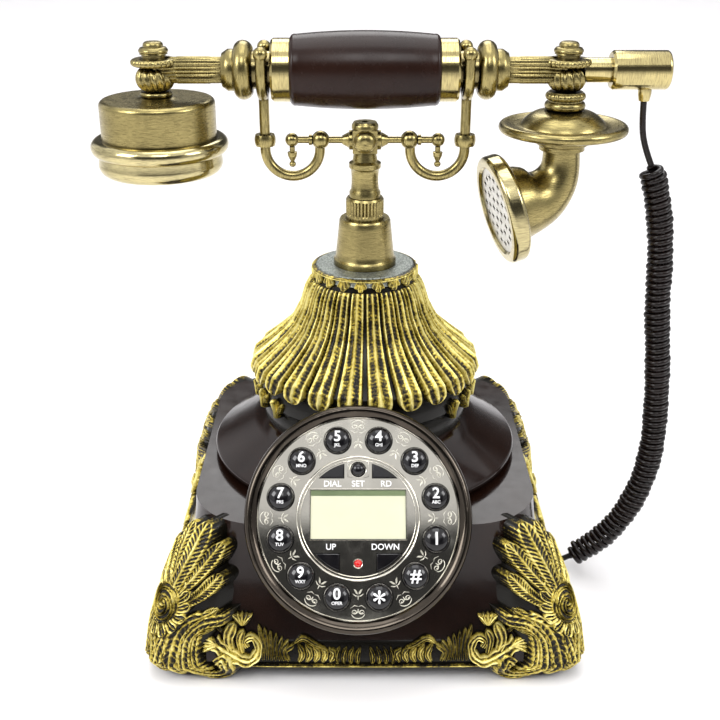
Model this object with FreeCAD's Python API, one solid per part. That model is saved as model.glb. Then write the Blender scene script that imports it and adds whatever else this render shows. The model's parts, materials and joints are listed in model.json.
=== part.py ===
import FreeCAD, Part

import math
import os

# A cradle telephone in the old French style, one named node for each separate piece.
# It stands on the plane Z = 0 with its dial towards -Y and its mouthpiece horn on +X.
# The origin is on the standing plane, under the middle of the phone without its cord.

Vec = FreeCAD.Vector
ORIGIN = Vec(0, 0, 0)
UP = Vec(0, 0, 1)
SIDE = Vec(1, 0, 0)

# ---------------------------------------------------------------- driving dimensions, mm
STEM = Vec(-5.0, 4.5, 0)        # foot of the stem's axis, which the cradle rises along

# base
FOOT_PAD = 2.0                  # rubber under each foot
SHELL_LOW = 10.0                # lower edge of the body between its feet
SHELL_TOP = 70.0
SHELL_WALL = 3.5
# height, half width and corner radius of the body's levels
SHELL_SIDES = [
    (SHELL_LOW, 93.0, 14.0), (24.0, 88.0, 16.0), (40.0, 81.5, 20.0), (56.0, 77.5, 26.0),
    (SHELL_TOP, 76.5, 31.0)]
ORNAMENT = 6.0                  # how far the scrolls along the sides stand off the body
# the same levels for the outside of the corner ornaments, which stand off further
ORNAMENT_SIDES = [
    (2.2, 95.0, 14.0), (SHELL_LOW, 99.0, 14.0), (24.0, 97.0, 15.5), (40.0, 92.5, 17.0),
    (56.0, 86.5, 20.0), (SHELL_TOP + 0.5, 81.0, 26.0)]
FOOT_CORNER = 14.0              # corner radius of the feet
FOOT_INNER = 58.0               # a foot reaches from here to the corner
SCREW_PLACE = 63.0
PAD_PLACE = 79.0
SHOULDER_TOP = 90.0
BELL_TOP = 158.0
COLLAR_TOP = 162.5
CONE_TOP = 184.0

# dial, on a plane that leans back
DIAL_CENTRE = STEM + Vec(-3.0, -79.0, 74.7)
DIAL_ELEVATION = 34.0           # angle of the dial's normal above the horizon, degrees
BEZEL_R = 48.5
FACE_R = 44.0
FACE_THICK = 2.0
HOUSING_R = 47.8
HOUSING_DEPTH = 8.0
BOSS_LENGTH = 40.0
KEY_RING_R = 34.3
KEY_R = 5.8
KEY_GAP = 0.3                   # round a key in its hole
KEY_FLANGE = 0.9
KEY_DEPTH = 4.2                 # from the face to the foot of a key
KEY_TRAVEL = 1.2
KEYS_IN_RING = 12
SEGMENT_R = 23.6                # outer radius of the small corner keys
SET_KEY = (20.7, 3.0)           # height above the dial's centre, and radius
LCD_SIZE = (41.0, 21.0)
LCD_RISE = 1.5
LAMP_DROP = 19.1
LAMP_R = 1.65

# cradle
CROSSBAR_Z = 219.0
ROD_R = 4.0
SLEEVE_R = 8.5
RUNNING_GAP = 0.06
SLEEVE_LOW = 175.0
HUB = 10.8
BALL_X = 19.5
END_BALL_X = 32.0
FORK_X = 43.8
FORK_ROD_R = 2.25
LOOP_R = 12.0
LOOP_Z = 214.9
TINE_R = 2.35
TINE_TOP = 257.0

# handset, along X
HANDSET_Z = 249.0
NECK_R = 8.0
NECK_GAP = 0.3
KNOB_LEFT = -90.0
KNOB_RIGHT = 86.5
KNOB_R = 8.5
KNOB_LOW = 240.0
KNOB_TOP = 251.0
CAP_END = 130.0
CAP_R = 8.25
HORN_YAW = 12.0                 # the horn turns a little towards the caller
HORN_BEND_R = 17.0
HORN_TURN = 76.0
HORN_NECK_Z = 215.0

# curly cord
WIRE_R = 1.4
COIL_R = 6.4
CORD_X = 120.5
GLAND_LOW = 236.0

POLE_FLAT = 0.3                 # half width of the flat at the pole of a round end

# Cord routes, from the stem's foot.
LEAD_ROUTE = [(120.5, 0, 235.95), (120.7, 0, 226), (122.8, 0, 216), (126.8, 0, 207.5)]
COIL_ROUTE = [
    (126.8, 0, 207.5), (132.2, 0, 190), (135.6, 0, 166), (136.2, -1, 141), (139.4, -2, 115),
    (141.0, -3, 90), (141.0, -5, 67), (136.8, -6, 46), (128.0, -7, 27.5), (115.5, -8, 14),
    (104.5, -8, 7.6)]
TAIL_ROUTE = [
    (104.5, -8, 7.6), (97.0, -8, 3.6), (89.5, -8, 2.1), (83.0, -8, 2.2), (78.2, -8, 4.2),
    (76.0, -8, 8.5)]
JACK_X, JACK_Y = 76.0, -8.0


# ---------------------------------------------------------------- helpers
def wire_through(points, place):
    """Closed wire. A point of four numbers is an arc's middle and end, else a line's end."""
    edges = []
    here = points[0]
    for point in points[1:] + [points[0]]:
        end = point[-2:]
        if len(point) == 4:
            arc = Part.Arc(place(*here), place(*point[:2]), place(*end))
            edges.append(arc.toShape())
        else:
            edges.append(Part.LineSegment(place(*here), place(*end)).toShape())
        here = end
    return Part.Wire(edges)


def turned(points):
    """Solid turned about Z from an outline of (radius, height) points."""
    outline = []
    for point in points:
        if len(point) == 4 and point[2] == 0:
            # A round end keeps a small flat at its pole, so that its mesh closes.
            outline += [point[:2] + (POLE_FLAT, point[3]), (0, point[3])]
        else:
            outline.append(point)
    wire = wire_through(outline, lambda r, z: Vec(r, 0, z))
    return Part.Face(wire).revolve(ORIGIN, UP, 360)


def disc(radius, low, high, x=0.0, y=0.0):
    """Upright cylinder between two heights."""
    return Part.makeCylinder(radius, high - low, Vec(x, y, low))


def block(low, high):
    """Box between two corners."""
    size = [b - a for a, b in zip(low, high)]
    return Part.makeBox(*size, Vec(*low))


def aimed(shape, foot, direction):
    """A piece made along +Z, stood on a foot and pointed along a direction."""
    result = shape.copy()
    result.Placement = FreeCAD.Placement(foot, FreeCAD.Rotation(UP, direction))
    return result


def moved(shape, offset):
    """A copy of a piece, shifted."""
    result = shape.copy()
    result.translate(offset)
    return result


def both_sides(shape):
    """A piece and its mirror image in the YZ plane."""
    return [shape, shape.mirror(ORIGIN, SIDE)]


def rounded_square(half, corner, z):
    """Closed wire of a square with round corners, at a height."""
    inner = half - corner
    bend = corner * math.sqrt(0.5)
    points = [(inner, -half)]
    for quarter in range(4):
        c = round(math.cos(quarter * math.pi / 2))
        s = round(math.sin(quarter * math.pi / 2))
        middle = (inner + bend, -inner - bend)
        end = (half, -inner)
        start = (half, inner)
        for point in (middle + end, start):
            pairs = zip(point[::2], point[1::2])
            points.append(tuple(v for x, y in pairs for v in (c * x - s * y, s * x + c * y)))
    # The last straight side closes the wire by itself.
    return wire_through(points[:1] + points[1:-1], lambda x, y: Vec(x, y, z))


def lofted(levels):
    """Smooth form through rounded squares, given as height, half width and corner radius."""
    wires = [rounded_square(half, corner, z) for z, half, corner in levels]
    return Part.makeLoft(wires, True, False)


def lofted_body(offset, low=None, high=None):
    """The body's tapering outer form, grown by an offset."""
    levels = [[z, half + offset, corner + offset] for z, half, corner in SHELL_SIDES]
    if low is not None:
        levels[0][0] = low
    if high is not None:
        levels[-1][0] = high
    return lofted(levels)


def on_dial(shape):
    """A piece made on the XY plane, set on the dial's leaning plane."""
    result = shape.copy()
    lean = FreeCAD.Rotation(SIDE, 90 - DIAL_ELEVATION)
    place = FreeCAD.Placement(DIAL_CENTRE - STEM, lean)
    result.Placement = place.multiply(result.Placement)
    return result


def bent_tube(route, radius):
    """Round tube along straight runs joined by the largest tangent arcs they allow."""
    points = [Vec(*p) for p in route]
    edges = []
    here = points[0]
    tightest = 1e9
    for before, corner, after in zip(points, points[1:], points[2:]):
        arrive = (corner - before).normalize()
        leave = (after - corner).normalize()
        shorter = min((corner - before).Length, (after - corner).Length)
        cut = 0.45 * shorter
        half_turn = arrive.getAngle(leave) / 2
        arc_r = cut / math.tan(half_turn)
        tightest = min(tightest, arc_r)
        start = corner - arrive * cut
        end = corner + leave * cut
        inward = (leave - arrive).normalize()
        middle = corner + inward * (arc_r / math.cos(half_turn) - arc_r)
        edges.append(Part.LineSegment(here, start).toShape())
        edges.append(Part.Arc(start, middle, end).toShape())
        here = end
    edges.append(Part.LineSegment(here, points[-1]).toShape())
    path = Part.Wire(edges)
    section = Part.Wire(Part.makeCircle(radius, points[0], points[1] - points[0]))
    tube = path.makePipeShell([section], True, False)
    expected = math.pi * radius ** 2 * path.Length
    print(f"tube of radius {radius}: {path.Length:.1f} long, tightest bend {tightest:.1f},"
          f" volume {tube.Volume / expected:.4f} of its section times its length")
    return tube


# ---------------------------------------------------------------- base
BELL_OUTSIDE = [
    (0, SHOULDER_TOP), (48.0, SHOULDER_TOP), (48.5, 95), (47, 98.5), (49.5, 101.5),
    (49.5, 106), (48, 109.5), (50, 113), (50, 116), (34.5, 130, 24.0, 154), (22.5, BELL_TOP),
    (0, BELL_TOP)]
SHOULDER_OUTSIDE = [
    (0, SHELL_TOP), (68, SHELL_TOP), (68, 72), (71.3, 72), (72.4, 73.2, 71.5, 75.5),
    (48, SHOULDER_TOP), (0, SHOULDER_TOP)]


def dial_space(front, back, radius=HOUSING_R):
    """Room for the dial and its housing, between two depths from the dial's plane."""
    return on_dial(disc(radius, -back, -front))


def shoulder_disc():
    inside = [
        (0, SHELL_TOP), (62, SHELL_TOP), (66, 73.6), (46.5, 86.5), (14, 86.5),
        (14, SHOULDER_TOP), (0, SHOULDER_TOP)]
    shell = turned(SHOULDER_OUTSIDE).cut(turned(inside))
    return shell.cut(dial_space(-10, HOUSING_DEPTH, HOUSING_R + 0.2))


def bell_skirt():
    inside = [
        (0, SHOULDER_TOP), (44, SHOULDER_TOP), (44, 98), (46, 112), (31.5, 129, 20.5, 153),
        (20, 154.5), (12, 154.5), (12, BELL_TOP), (0, BELL_TOP)]
    shell = turned(BELL_OUTSIDE).cut(turned(inside))
    return shell.cut(dial_space(-12, HOUSING_DEPTH, BEZEL_R + 0.3))


def bell_collar():
    """Speckled top disc with the scalloped band round it."""
    return turned([
        (ROD_R + RUNNING_GAP, BELL_TOP), (24.0, BELL_TOP), (24.9, 159.2, 24.0, 160.6),
        (22.6, 161.0), (22.0, COLLAR_TOP), (ROD_R + RUNNING_GAP, COLLAR_TOP)])


def cone_collar():
    """Brushed cone that guides the sleeve and holds the plunger's spring."""
    bore = SLEEVE_R + RUNNING_GAP
    floor = COLLAR_TOP + 2.5
    return turned([
        (ROD_R + RUNNING_GAP, COLLAR_TOP), (14.2, COLLAR_TOP), (14.2, 165), (13.4, 166),
        (11.6, 183), (11.0, CONE_TOP), (bore, CONE_TOP), (bore, floor),
        (ROD_R + RUNNING_GAP, floor)])


def screw_places():
    return [(x, y) for x in (-SCREW_PLACE, SCREW_PLACE) for y in (-SCREW_PLACE, SCREW_PLACE)]


def body_shell():
    """Four-sided body with its feet, screw posts and round dial housing in one moulding."""
    outer = lofted_body(0)
    inner = lofted_body(-SHELL_WALL, SHELL_LOW - 1, SHELL_TOP - SHELL_WALL)
    boss = on_dial(disc(HOUSING_R, -BOSS_LENGTH, -5.0))
    boss = boss.common(block((-60, -130, SHELL_LOW), (60, 0, 120)))
    for envelope in (SHOULDER_OUTSIDE, BELL_OUTSIDE):
        solid = turned(envelope).cut(dial_space(-12, HOUSING_DEPTH, BEZEL_R + 0.3))
        boss = boss.cut(solid)
    housing_bore = on_dial(disc(FACE_R + 0.2, -HOUSING_DEPTH, 0))
    deep_bore = on_dial(disc(FACE_R + 0.2, -BOSS_LENGTH - 15, 0))
    deep_bore = deep_bore.common(block((-60, -130, 0), (60, 40, SHELL_TOP - SHELL_WALL)))
    shell = outer.fuse(boss).cut(inner).cut(housing_bore).cut(deep_bore)
    slab = Part.Face(rounded_square(92.0, FOOT_CORNER, FOOT_PAD)).extrude(Vec(0, 0, 10))
    reach = 110
    for sx in (-1, 1):
        for sy in (-1, 1):
            low = (min(sx * FOOT_INNER, sx * reach), min(sy * FOOT_INNER, sy * reach), 0)
            high = (low[0] + reach - FOOT_INNER, low[1] + reach - FOOT_INNER, 20)
            shell = shell.fuse(slab.common(block(low, high)))
    for x, y in screw_places():
        shell = shell.fuse(disc(4.5, 12, SHELL_TOP - 2, x, y))
        shell = shell.cut(disc(1.5, 12, 24, x, y))
        shell = shell.cut(disc(3.6, FOOT_PAD, SHELL_LOW, x, y))
        shell = shell.cut(disc(1.6, FOOT_PAD, 12, x, y))
    shell = shell.cut(disc(ROD_R + 2.5, SHELL_TOP - 5, SHELL_TOP + 1, 0, 22))
    shell = shell.cut(line_socket_block())
    return shell.removeSplitter()


def base_plate(shell):
    """Plate that closes the body from below, with standoffs for the circuit board."""
    plate = Part.Face(rounded_square(88.5, FOOT_CORNER, SHELL_LOW)).extrude(Vec(0, 0, 2))
    plate = plate.cut(shell)
    for x in (-38, 38):
        for y in (24, 64):
            plate = plate.fuse(disc(3, 11, 20, x, y))
    for x, y in screw_places():
        plate = plate.cut(disc(1.6, SHELL_LOW - 1, 13, x, y))
    return plate.cut(handset_socket_block())


def rubber_feet():
    pads = [disc(9.0, 0, FOOT_PAD, x, y)
            for x in (-PAD_PLACE, PAD_PLACE) for y in (-PAD_PLACE, PAD_PLACE)]
    return Part.makeCompound(pads)


def base_screws():
    """Four countersunk-deep screws, up through the feet into the posts."""
    screw = turned([(0, 7.0), (3.0, 7.0), (3.5, 8.0), (3.5, SHELL_LOW), (1.5, SHELL_LOW),
                    (1.5, 22), (0, 23.5)])
    return Part.makeCompound([moved(screw, Vec(x, y, 0)) for x, y in screw_places()])


def ornament_skin(outside):
    """Layer between the body and an outer form, which the ornaments are cut from."""
    feet = Part.Face(rounded_square(92.0, FOOT_CORNER, 0)).extrude(Vec(0, 0, SHELL_LOW))
    return outside.cut(lofted_body(0)).cut(feet)


def corner_ornaments():
    """Feathered leaf fan over each corner, with a scroll that curls under the foot."""
    outline = [(-19, 2.2), (19, 2.2), (27, 12), (33, 27), (31, 42), (22, 56), (9, 66.5),
               (-9, 66.5), (-22, 56), (-31, 42), (-33, 27), (-27, 12)]
    wire = wire_through(outline, lambda s, z: Vec(s, 0, z))
    prism = Part.Face(wire).extrude(Vec(0, -150, 0))
    skin = ornament_skin(lofted(ORNAMENT_SIDES))
    fans = []
    for quarter in range(4):
        fan = prism.copy()
        fan.rotate(ORIGIN, UP, 45 + 90 * quarter)
        fan = skin.common(fan).cut(dial_space(-20, BOSS_LENGTH, BEZEL_R + 0.4))
        fans.append(max(fan.Solids, key=lambda solid: solid.Volume))
    return Part.makeCompound(fans)


def apron_ornaments(corners):
    """Shell and leaf scroll along the lower edge of each side, between the feet."""
    outline = [(-52, 8.5), (52, 8.5), (58, 16), (50, 27), (34, 22), (0, 25), (-34, 22),
               (-50, 27), (-58, 16)]
    wire = wire_through(outline, lambda s, z: Vec(s, 0, z))
    prism = Part.Face(wire).extrude(Vec(0, -150, 0))
    socket_way = block((-9, 76, 13), (9, 110, 27))
    skin = ornament_skin(lofted_body(ORNAMENT, FOOT_PAD + 0.2, SHELL_TOP + 0.5))
    strips = []
    for quarter in range(4):
        strip = prism.copy()
        strip.rotate(ORIGIN, UP, 90 * quarter)
        strip = skin.common(strip).cut(corners)
        strip = strip.cut(dial_space(-20, 30, BEZEL_R + 0.4)).cut(socket_way)
        strips.append(max(strip.Solids, key=lambda solid: solid.Volume))
    return Part.makeCompound(strips)


def line_socket_block():
    """Outer block of the line socket, in the back wall."""
    return block((-8, 76, 14), (8, 91.5, 26))


def handset_socket_block():
    """Outer block of the handset socket, in the base plate."""
    return block((JACK_X - 6, JACK_Y - 6, SHELL_LOW), (JACK_X + 6, JACK_Y + 6, 22))


def phone_jacks():
    """Line socket at the back and handset socket underneath, two mouldings."""
    line = line_socket_block().cut(block((-5, 79, 16.5), (5, 92, 23.5)))
    plug_room = block((JACK_X - 3.9, JACK_Y - 3.4, 9), (JACK_X + 3.9, JACK_Y + 3.4, 20))
    return Part.makeCompound([line, handset_socket_block().cut(plug_room)])


def circuit_boards():
    """Main board on its standoffs and the round keypad board behind the dial."""
    main = block((-45, 18, 20), (45, 70, 21.6))
    top = -(KEY_DEPTH + KEY_TRAVEL + 0.4)
    keypad = on_dial(disc(42.0, top - 1.6, top))
    return Part.makeCompound([main, keypad])


def ringer_speaker():
    return turned([(0, 12), (21, 12), (21, 15), (17, 20), (6, 22), (0, 22)])


def hook_switch():
    """Switch box on the body's roof, with the lever that the plunger rod rests on."""
    box = block((-11, -6, SHELL_TOP), (11, 6, 78))
    lever = block((-9, -2.5, 78), (5, 2.5, 79.2))
    return box.fuse(lever).removeSplitter()


# ---------------------------------------------------------------- dial
def ring_places():
    """Angle of each key of the ring, from the lowest right one, counter-clockwise."""
    names = ["star", "hash", "1", "2", "3", "4", "5", "6", "7", "8", "9", "0"]
    return [(name, -75 + n * 360 / KEYS_IN_RING) for n, name in enumerate(names)]


def on_ring(radius, angle):
    turn = math.radians(angle)
    return Vec(radius * math.cos(turn), radius * math.sin(turn), 0)


# side edge and flat edge of each corner key
SMALL_KEYS = {
    "key_dial": (-6.2, 17.1), "key_redial": (6.2, 17.1),
    "key_up": (-8.0, -15.0), "key_down": (8.0, -15.0)}


def corner_plate(edges, grow, low, high):
    """The part of a disc beyond a side edge and a flat edge, grown all round."""
    ends = []
    for edge in edges:
        side = math.copysign(1, edge)
        ends.append(sorted((edge - side * grow, side * 30)))
    corner = block((ends[0][0], ends[1][0], low), (ends[0][1], ends[1][1], high))
    return disc(SEGMENT_R + grow, low, high).common(corner)


def round_key(radius):
    """Domed key with a flange that keeps it under the dial's face."""
    return turned([
        (0, -KEY_DEPTH), (radius * 0.4, -KEY_DEPTH), (radius * 0.4, -3.2), (radius + KEY_FLANGE, -3.2),
        (radius + KEY_FLANGE, -FACE_THICK - 0.1), (radius, -FACE_THICK - 0.1), (radius, 0.9),
        (radius * 0.74, 3.2, 0, 4.3)])


def corner_key(edges):
    top = corner_plate(edges, 0, -3.2, 1.3)
    flange = corner_plate(edges, KEY_FLANGE, -3.2, -FACE_THICK - 0.1)
    return top.fuse(flange).removeSplitter()


def keys():
    """Every key as its own node, made on the dial's plane and then set on the phone."""
    result = {}
    for name, angle in ring_places():
        key = moved(round_key(KEY_R), on_ring(KEY_RING_R, angle))
        result["key_" + name] = on_dial(key)
    for name, edges in SMALL_KEYS.items():
        result[name] = on_dial(corner_key(edges))
    rise, radius = SET_KEY
    set_key = moved(round_key(radius), Vec(0, rise, 0))
    result["key_set"] = on_dial(set_key)
    return result


def dial_face():
    """Round face plate, with a hole for each key, the display and the lamp."""
    plate = disc(FACE_R, -FACE_THICK, 0)
    for _, angle in ring_places():
        spot = on_ring(KEY_RING_R, angle)
        plate = plate.cut(disc(KEY_R + KEY_GAP, -3, 1, spot.x, spot.y))
    for edges in SMALL_KEYS.values():
        plate = plate.cut(corner_plate(edges, KEY_GAP, -3, 1))
    rise, radius = SET_KEY
    plate = plate.cut(disc(radius + KEY_GAP, -3, 1, 0, rise))
    plate = plate.cut(lcd_block(-3, 1))
    plate = plate.cut(disc(LAMP_R, -3, 1, 0, -LAMP_DROP))
    return on_dial(plate)


def lcd_block(low, high, grow=0.0):
    half_x, half_y = LCD_SIZE[0] / 2 + grow, LCD_SIZE[1] / 2 + grow
    return block((-half_x, LCD_RISE - half_y, low), (half_x, LCD_RISE + half_y, high))


def dial_bezel():
    """Rounded ring that holds the face plate in the housing."""
    return on_dial(turned([
        (FACE_R, -5), (BEZEL_R - 0.7, -5), (BEZEL_R, -4.2), (BEZEL_R, 0.5),
        (BEZEL_R - 0.9, 2.9, 46.2, 3.4), (44.2, 2.4), (43.0, 0.9), (43.0, 0), (FACE_R, 0)]))


def lamp():
    return on_dial(moved(turned([
        (0, -5), (LAMP_R, -5), (LAMP_R, 0.3), (LAMP_R * 0.7, 1.2, 0, 1.6)]),
        Vec(0, -LAMP_DROP, 0)))


# ---------------------------------------------------------------- cradle
def stem_column():
    """Plunger rod and the turned column above it."""
    return turned([
        (0, 79.5), (ROD_R, 79.5), (ROD_R, 193.5), (7.0, 193.5), (7.0, 196), (6.3, 197),
        (6.0, 201.5, 6.3, 206), (7.1, 207), (7.1, 209), (5.6, 210), (4.8, 214), (0, 214)])


def knurled_sleeve():
    return turned([(ROD_R, SLEEVE_LOW), (SLEEVE_R, SLEEVE_LOW), (SLEEVE_R, 192.7),
                   (7.8, 193.5), (ROD_R, 193.5)])


def plunger_spring():
    """Compression spring round the rod, under the sleeve."""
    wire_r = 0.6
    low, high = COLLAR_TOP + 2.5 + wire_r, SLEEVE_LOW - 0.1 - wire_r
    coil_r = 6.2
    helix = Part.makeHelix((high - low) / 4, high - low, coil_r)
    section = Part.Wire(Part.makeCircle(wire_r, Vec(coil_r, 0, 0), Vec(0, 1, 0)))
    spring = Part.Wire(helix).makePipeShell([section], True, True)
    spring.translate(Vec(0, 0, low))
    return spring


def hub_block():
    """Four-way block with a round cap and a domed boss at the front and the back."""
    half = HUB / 2
    cube = block((-half, -half, 214), (half, half, 224))
    cap = turned([(1.6, 224), (5.9, 224), (5.9, 225.6), (5.0, 227), (1.6, 227)])
    boss = turned([(0, 0), (5.0, 0), (4.2, 1.8, 0, 3.2)])
    front = aimed(boss, Vec(0, -half, CROSSBAR_Z), Vec(0, -1, 0))
    back = aimed(boss, Vec(0, half, CROSSBAR_Z), Vec(0, 1, 0))
    hub = cube.fuse([cap, front, back]).cut(disc(1.6, 223, 230))
    return hub.removeSplitter()


def crossbar_arms():
    """Turned bar with a middle ball and an end ball, on each side of the hub."""
    half = HUB / 2
    bar = turned([
        (0, half), (4.3, half), (4.3, 6.9), (3.4, 7.2), (1.9, 10), (1.5, 10), (1.5, 15.8),
        (4.0, BALL_X, 1.5, 23.2), (2.3, 23.2), (2.3, 24.6), (1.5, 24.6), (1.5, 29.4),
        (3.0, END_BALL_X, 0, END_BALL_X + 3)])
    arm = aimed(bar, Vec(0, 0, CROSSBAR_Z), SIDE)
    return Part.makeCompound(both_sides(arm))


def pendants():
    """Small drop under each end ball."""
    drop = turned([(0, -3), (1.2, -3), (1.2, -5), (2.2, -5.4), (2.0, -7), (0.8, -9.6),
                   (1.5, -10.6, 0, -12)])
    drop.translate(Vec(END_BALL_X, 0, CROSSBAR_Z))
    ball = Part.makeSphere(3.0, Vec(END_BALL_X, 0, CROSSBAR_Z))
    return Part.makeCompound(both_sides(drop.cut(ball).Solids[0]))


def cradle_forks(arms):
    """J-shaped arm from under the ball up to the two tines that hold the handset's neck."""
    inner_x = FORK_X - 2 * LOOP_R
    path = Part.Wire([
        Part.LineSegment(Vec(inner_x, 0, 217), Vec(inner_x, 0, LOOP_Z)).toShape(),
        Part.Arc(Vec(inner_x, 0, LOOP_Z), Vec(inner_x + LOOP_R, 0, LOOP_Z - LOOP_R),
                 Vec(FORK_X, 0, LOOP_Z)).toShape(),
        Part.LineSegment(Vec(FORK_X, 0, LOOP_Z), Vec(FORK_X, 0, 238.0)).toShape()])
    section = Part.Wire(Part.makeCircle(FORK_ROD_R, Vec(inner_x, 0, 217), Vec(0, 0, -1)))
    arm = path.makePipeShell([section], True, False)
    seat_r = NECK_R + NECK_GAP + TINE_R
    seat = Part.Wire([
        Part.LineSegment(Vec(FORK_X, -seat_r, TINE_TOP), Vec(FORK_X, -seat_r, HANDSET_Z)).toShape(),
        Part.Arc(Vec(FORK_X, -seat_r, HANDSET_Z), Vec(FORK_X, 0, HANDSET_Z - seat_r),
                 Vec(FORK_X, seat_r, HANDSET_Z)).toShape(),
        Part.LineSegment(Vec(FORK_X, seat_r, HANDSET_Z), Vec(FORK_X, seat_r, TINE_TOP)).toShape()])
    section = Part.Wire(Part.makeCircle(TINE_R, Vec(FORK_X, -seat_r, TINE_TOP), Vec(0, 0, -1)))
    tines = seat.makePipeShell([section], True, False)
    collar = turned([(0, 216.5), (4.2, 216.5), (4.7, 219, 4.2, 221.5), (0, 221.5)])
    collar.translate(Vec(FORK_X, 0, 0))
    tips = [Part.makeSphere(3.1, Vec(FORK_X, y, TINE_TOP)) for y in (-seat_r, seat_r)]
    fork = arm.fuse([tines, collar] + tips).cut(arms).removeSplitter()
    return Part.makeCompound(both_sides(max(fork.Solids, key=lambda s: s.Volume)))


# ---------------------------------------------------------------- handset
def along_handset(shape, side):
    """A piece made along +Z from the handset's middle, laid towards one side."""
    return aimed(shape, Vec(0, 0, HANDSET_Z), Vec(side, 0, 0))


def pair_along_handset(points):
    piece = turned(points)
    return Part.makeCompound([along_handset(piece, -1), along_handset(piece, 1)])


def handset_grip():
    """Slightly barrelled grip with round shoulders, bored for the tie rod."""
    half = 32.0
    points = [(2.5, -half), (12.6, -half), (14.4, -half + 0.7, 14.9, -half + 2.6),
              (16.4, 0, 14.9, half - 2.6), (14.4, half - 0.7, 12.6, half), (2.5, half)]
    return along_handset(turned(points), 1)


def grip_collars():
    return pair_along_handset([
        (2.5, 32), (13.3, 32), (13.3, 39), (12.5, 40), (NECK_R, 40.3), (NECK_R, 48),
        (2.5, 48)])


def neck_beads():
    return pair_along_handset([
        (2.5, 48), (9.5, 48), (12.4, 51.5, 10.6, 55.5), (8.8, 56.2), (8.8, 58.6), (7.2, 61),
        (2.5, 61)])


def arm_tubes():
    """Reeded tube from the neck's bead to each end knob."""
    tubes = []
    for side, knob in ((-1, -KNOB_LEFT), (1, KNOB_RIGHT)):
        tube = turned([(2.5, 61), (5.75, 61), (5.75, knob), (2.5, knob)])
        tube = along_handset(tube, side)
        tube = tube.cut(disc(KNOB_R, KNOB_LOW, KNOB_TOP, side * knob))
        tubes.append(tube.cut(finials()))
    return Part.makeCompound(tubes)


def end_knobs():
    """Barrel at each end of the handset, standing upright."""
    barrel = [(0, KNOB_LOW), (KNOB_R - 1.2, KNOB_LOW), (KNOB_R, 245.5, KNOB_R - 1.2, KNOB_TOP),
              (0, KNOB_TOP)]
    knob = turned(barrel)
    return Part.makeCompound([moved(knob, Vec(x, 0, 0)) for x in (KNOB_LEFT, KNOB_RIGHT)])


def finials():
    """Flanged button screwed on top of each knob."""
    button = turned([
        (0, KNOB_TOP), (9.2, KNOB_TOP), (10.1, 252.4, 9.2, 253.8), (5.2, 254.2), (5.2, 255.6),
        (6.3, 256), (6.3, 258.2), (4.2, 258.8), (4.0, 260.4, 0, 261.0)])
    return Part.makeCompound([moved(button, Vec(x, 0, 0)) for x in (KNOB_LEFT, KNOB_RIGHT)])


def receiver_cap():
    """Drum that hangs from the left knob and holds the receiver capsule."""
    return moved(turned([
        (0, KNOB_LOW), (6.4, KNOB_LOW), (7.0, 239, 6.4, 238), (9, 237.3), (22.4, 237),
        (24.3, 236.3, 25, 234.4), (25, 219), (23, 219), (23, 234.4), (0, 234.4)]),
        Vec(KNOB_LEFT, 0, 0))


def earpiece():
    """Polished ring and rounded ear cap below the drum, one screwed piece."""
    return moved(turned([
        (0, 204.6), (21.5, 204.8), (26.2, 206.4, 27, 210.5), (27, 213.4),
        (30, 217, 26.6, 220.6), (25, 220.6), (25, 219), (23, 219), (23, 208.6), (0, 208.2)]),
        Vec(KNOB_LEFT, 0, 0))


def transmitter_saucer():
    """Stacked beads, dome and saucer with a rolled rim over the horn's neck."""
    return moved(turned([
        (2.5, KNOB_LOW), (7.6, KNOB_LOW), (8.7, 238, 7.6, 236), (8.9, 234, 7.8, 232.2),
        (10.2, 231.5), (15.5, 229.4, 18.5, 226.4), (19.6, 225.4), (25, 226.2),
        (28.2, 224.6, 26, 222.4), (17, 220.2), (11.6, 219.2), (11.6, 217.6), (10.0, 216.8),
        (10.0, HORN_NECK_Z), (2.5, HORN_NECK_Z)]), Vec(KNOB_RIGHT, 0, 0))


def horn_stations():
    """Place, heading and radius along the horn, from its neck to its mouth."""
    stations = [(Vec(0, 0, HORN_NECK_Z), Vec(0, 0, -1), 8.2)]
    bend_z = 209.0
    radii = [8.4, 9.4, 10.8, 12.6, 14.6]
    for step, radius in enumerate(radii):
        turn = math.radians(HORN_TURN * step / (len(radii) - 1))
        place = Vec(-HORN_BEND_R * (1 - math.cos(turn)), 0, bend_z - HORN_BEND_R * math.sin(turn))
        stations.append((place, Vec(-math.sin(turn), 0, -math.cos(turn)), radius))
    place, heading, _ = stations[-1]
    stations.append((place + heading * 9.0, heading, 18.0))
    return stations


def place_horn(shape):
    """Turn a piece of the horn towards the caller and set it under the right knob."""
    result = shape.copy()
    result.rotate(ORIGIN, UP, HORN_YAW)
    result.translate(Vec(KNOB_RIGHT, 0, 0))
    return result


def transmitter_elbow():
    """Flared elbow from the saucer to the mouthpiece."""
    walls = []
    for wall in (0.0, 1.8):
        wires = [Part.Wire(Part.makeCircle(radius - wall, place, heading))
                 for place, heading, radius in horn_stations()]
        walls.append(Part.makeLoft(wires, True, False))
    return place_horn(walls[0].cut(walls[1]))


def at_mouth(shape):
    """Set a piece made on the XY plane on the horn's mouth."""
    place, heading, _ = horn_stations()[-1]
    return place_horn(aimed(shape, place, heading))


def mouthpiece_rim():
    return at_mouth(turned([
        (14, 0), (22, 0), (23.9, 0.8, 24.5, 2.5), (24.5, 5.8), (23.9, 7.4, 22.4, 8),
        (20.2, 8), (19.2, 7), (19.2, 2), (14, 2)]))


def mouthpiece_grille():
    return at_mouth(disc(19.2, 5.4, 6.8))


def voice_capsules():
    """Receiver capsule in the drum and microphone capsule behind the grille."""
    receiver = disc(20.0, 212, 219, KNOB_LEFT)
    microphone = at_mouth(disc(13.0, 1.4, 5.4))
    return Part.makeCompound([receiver, microphone])


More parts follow.
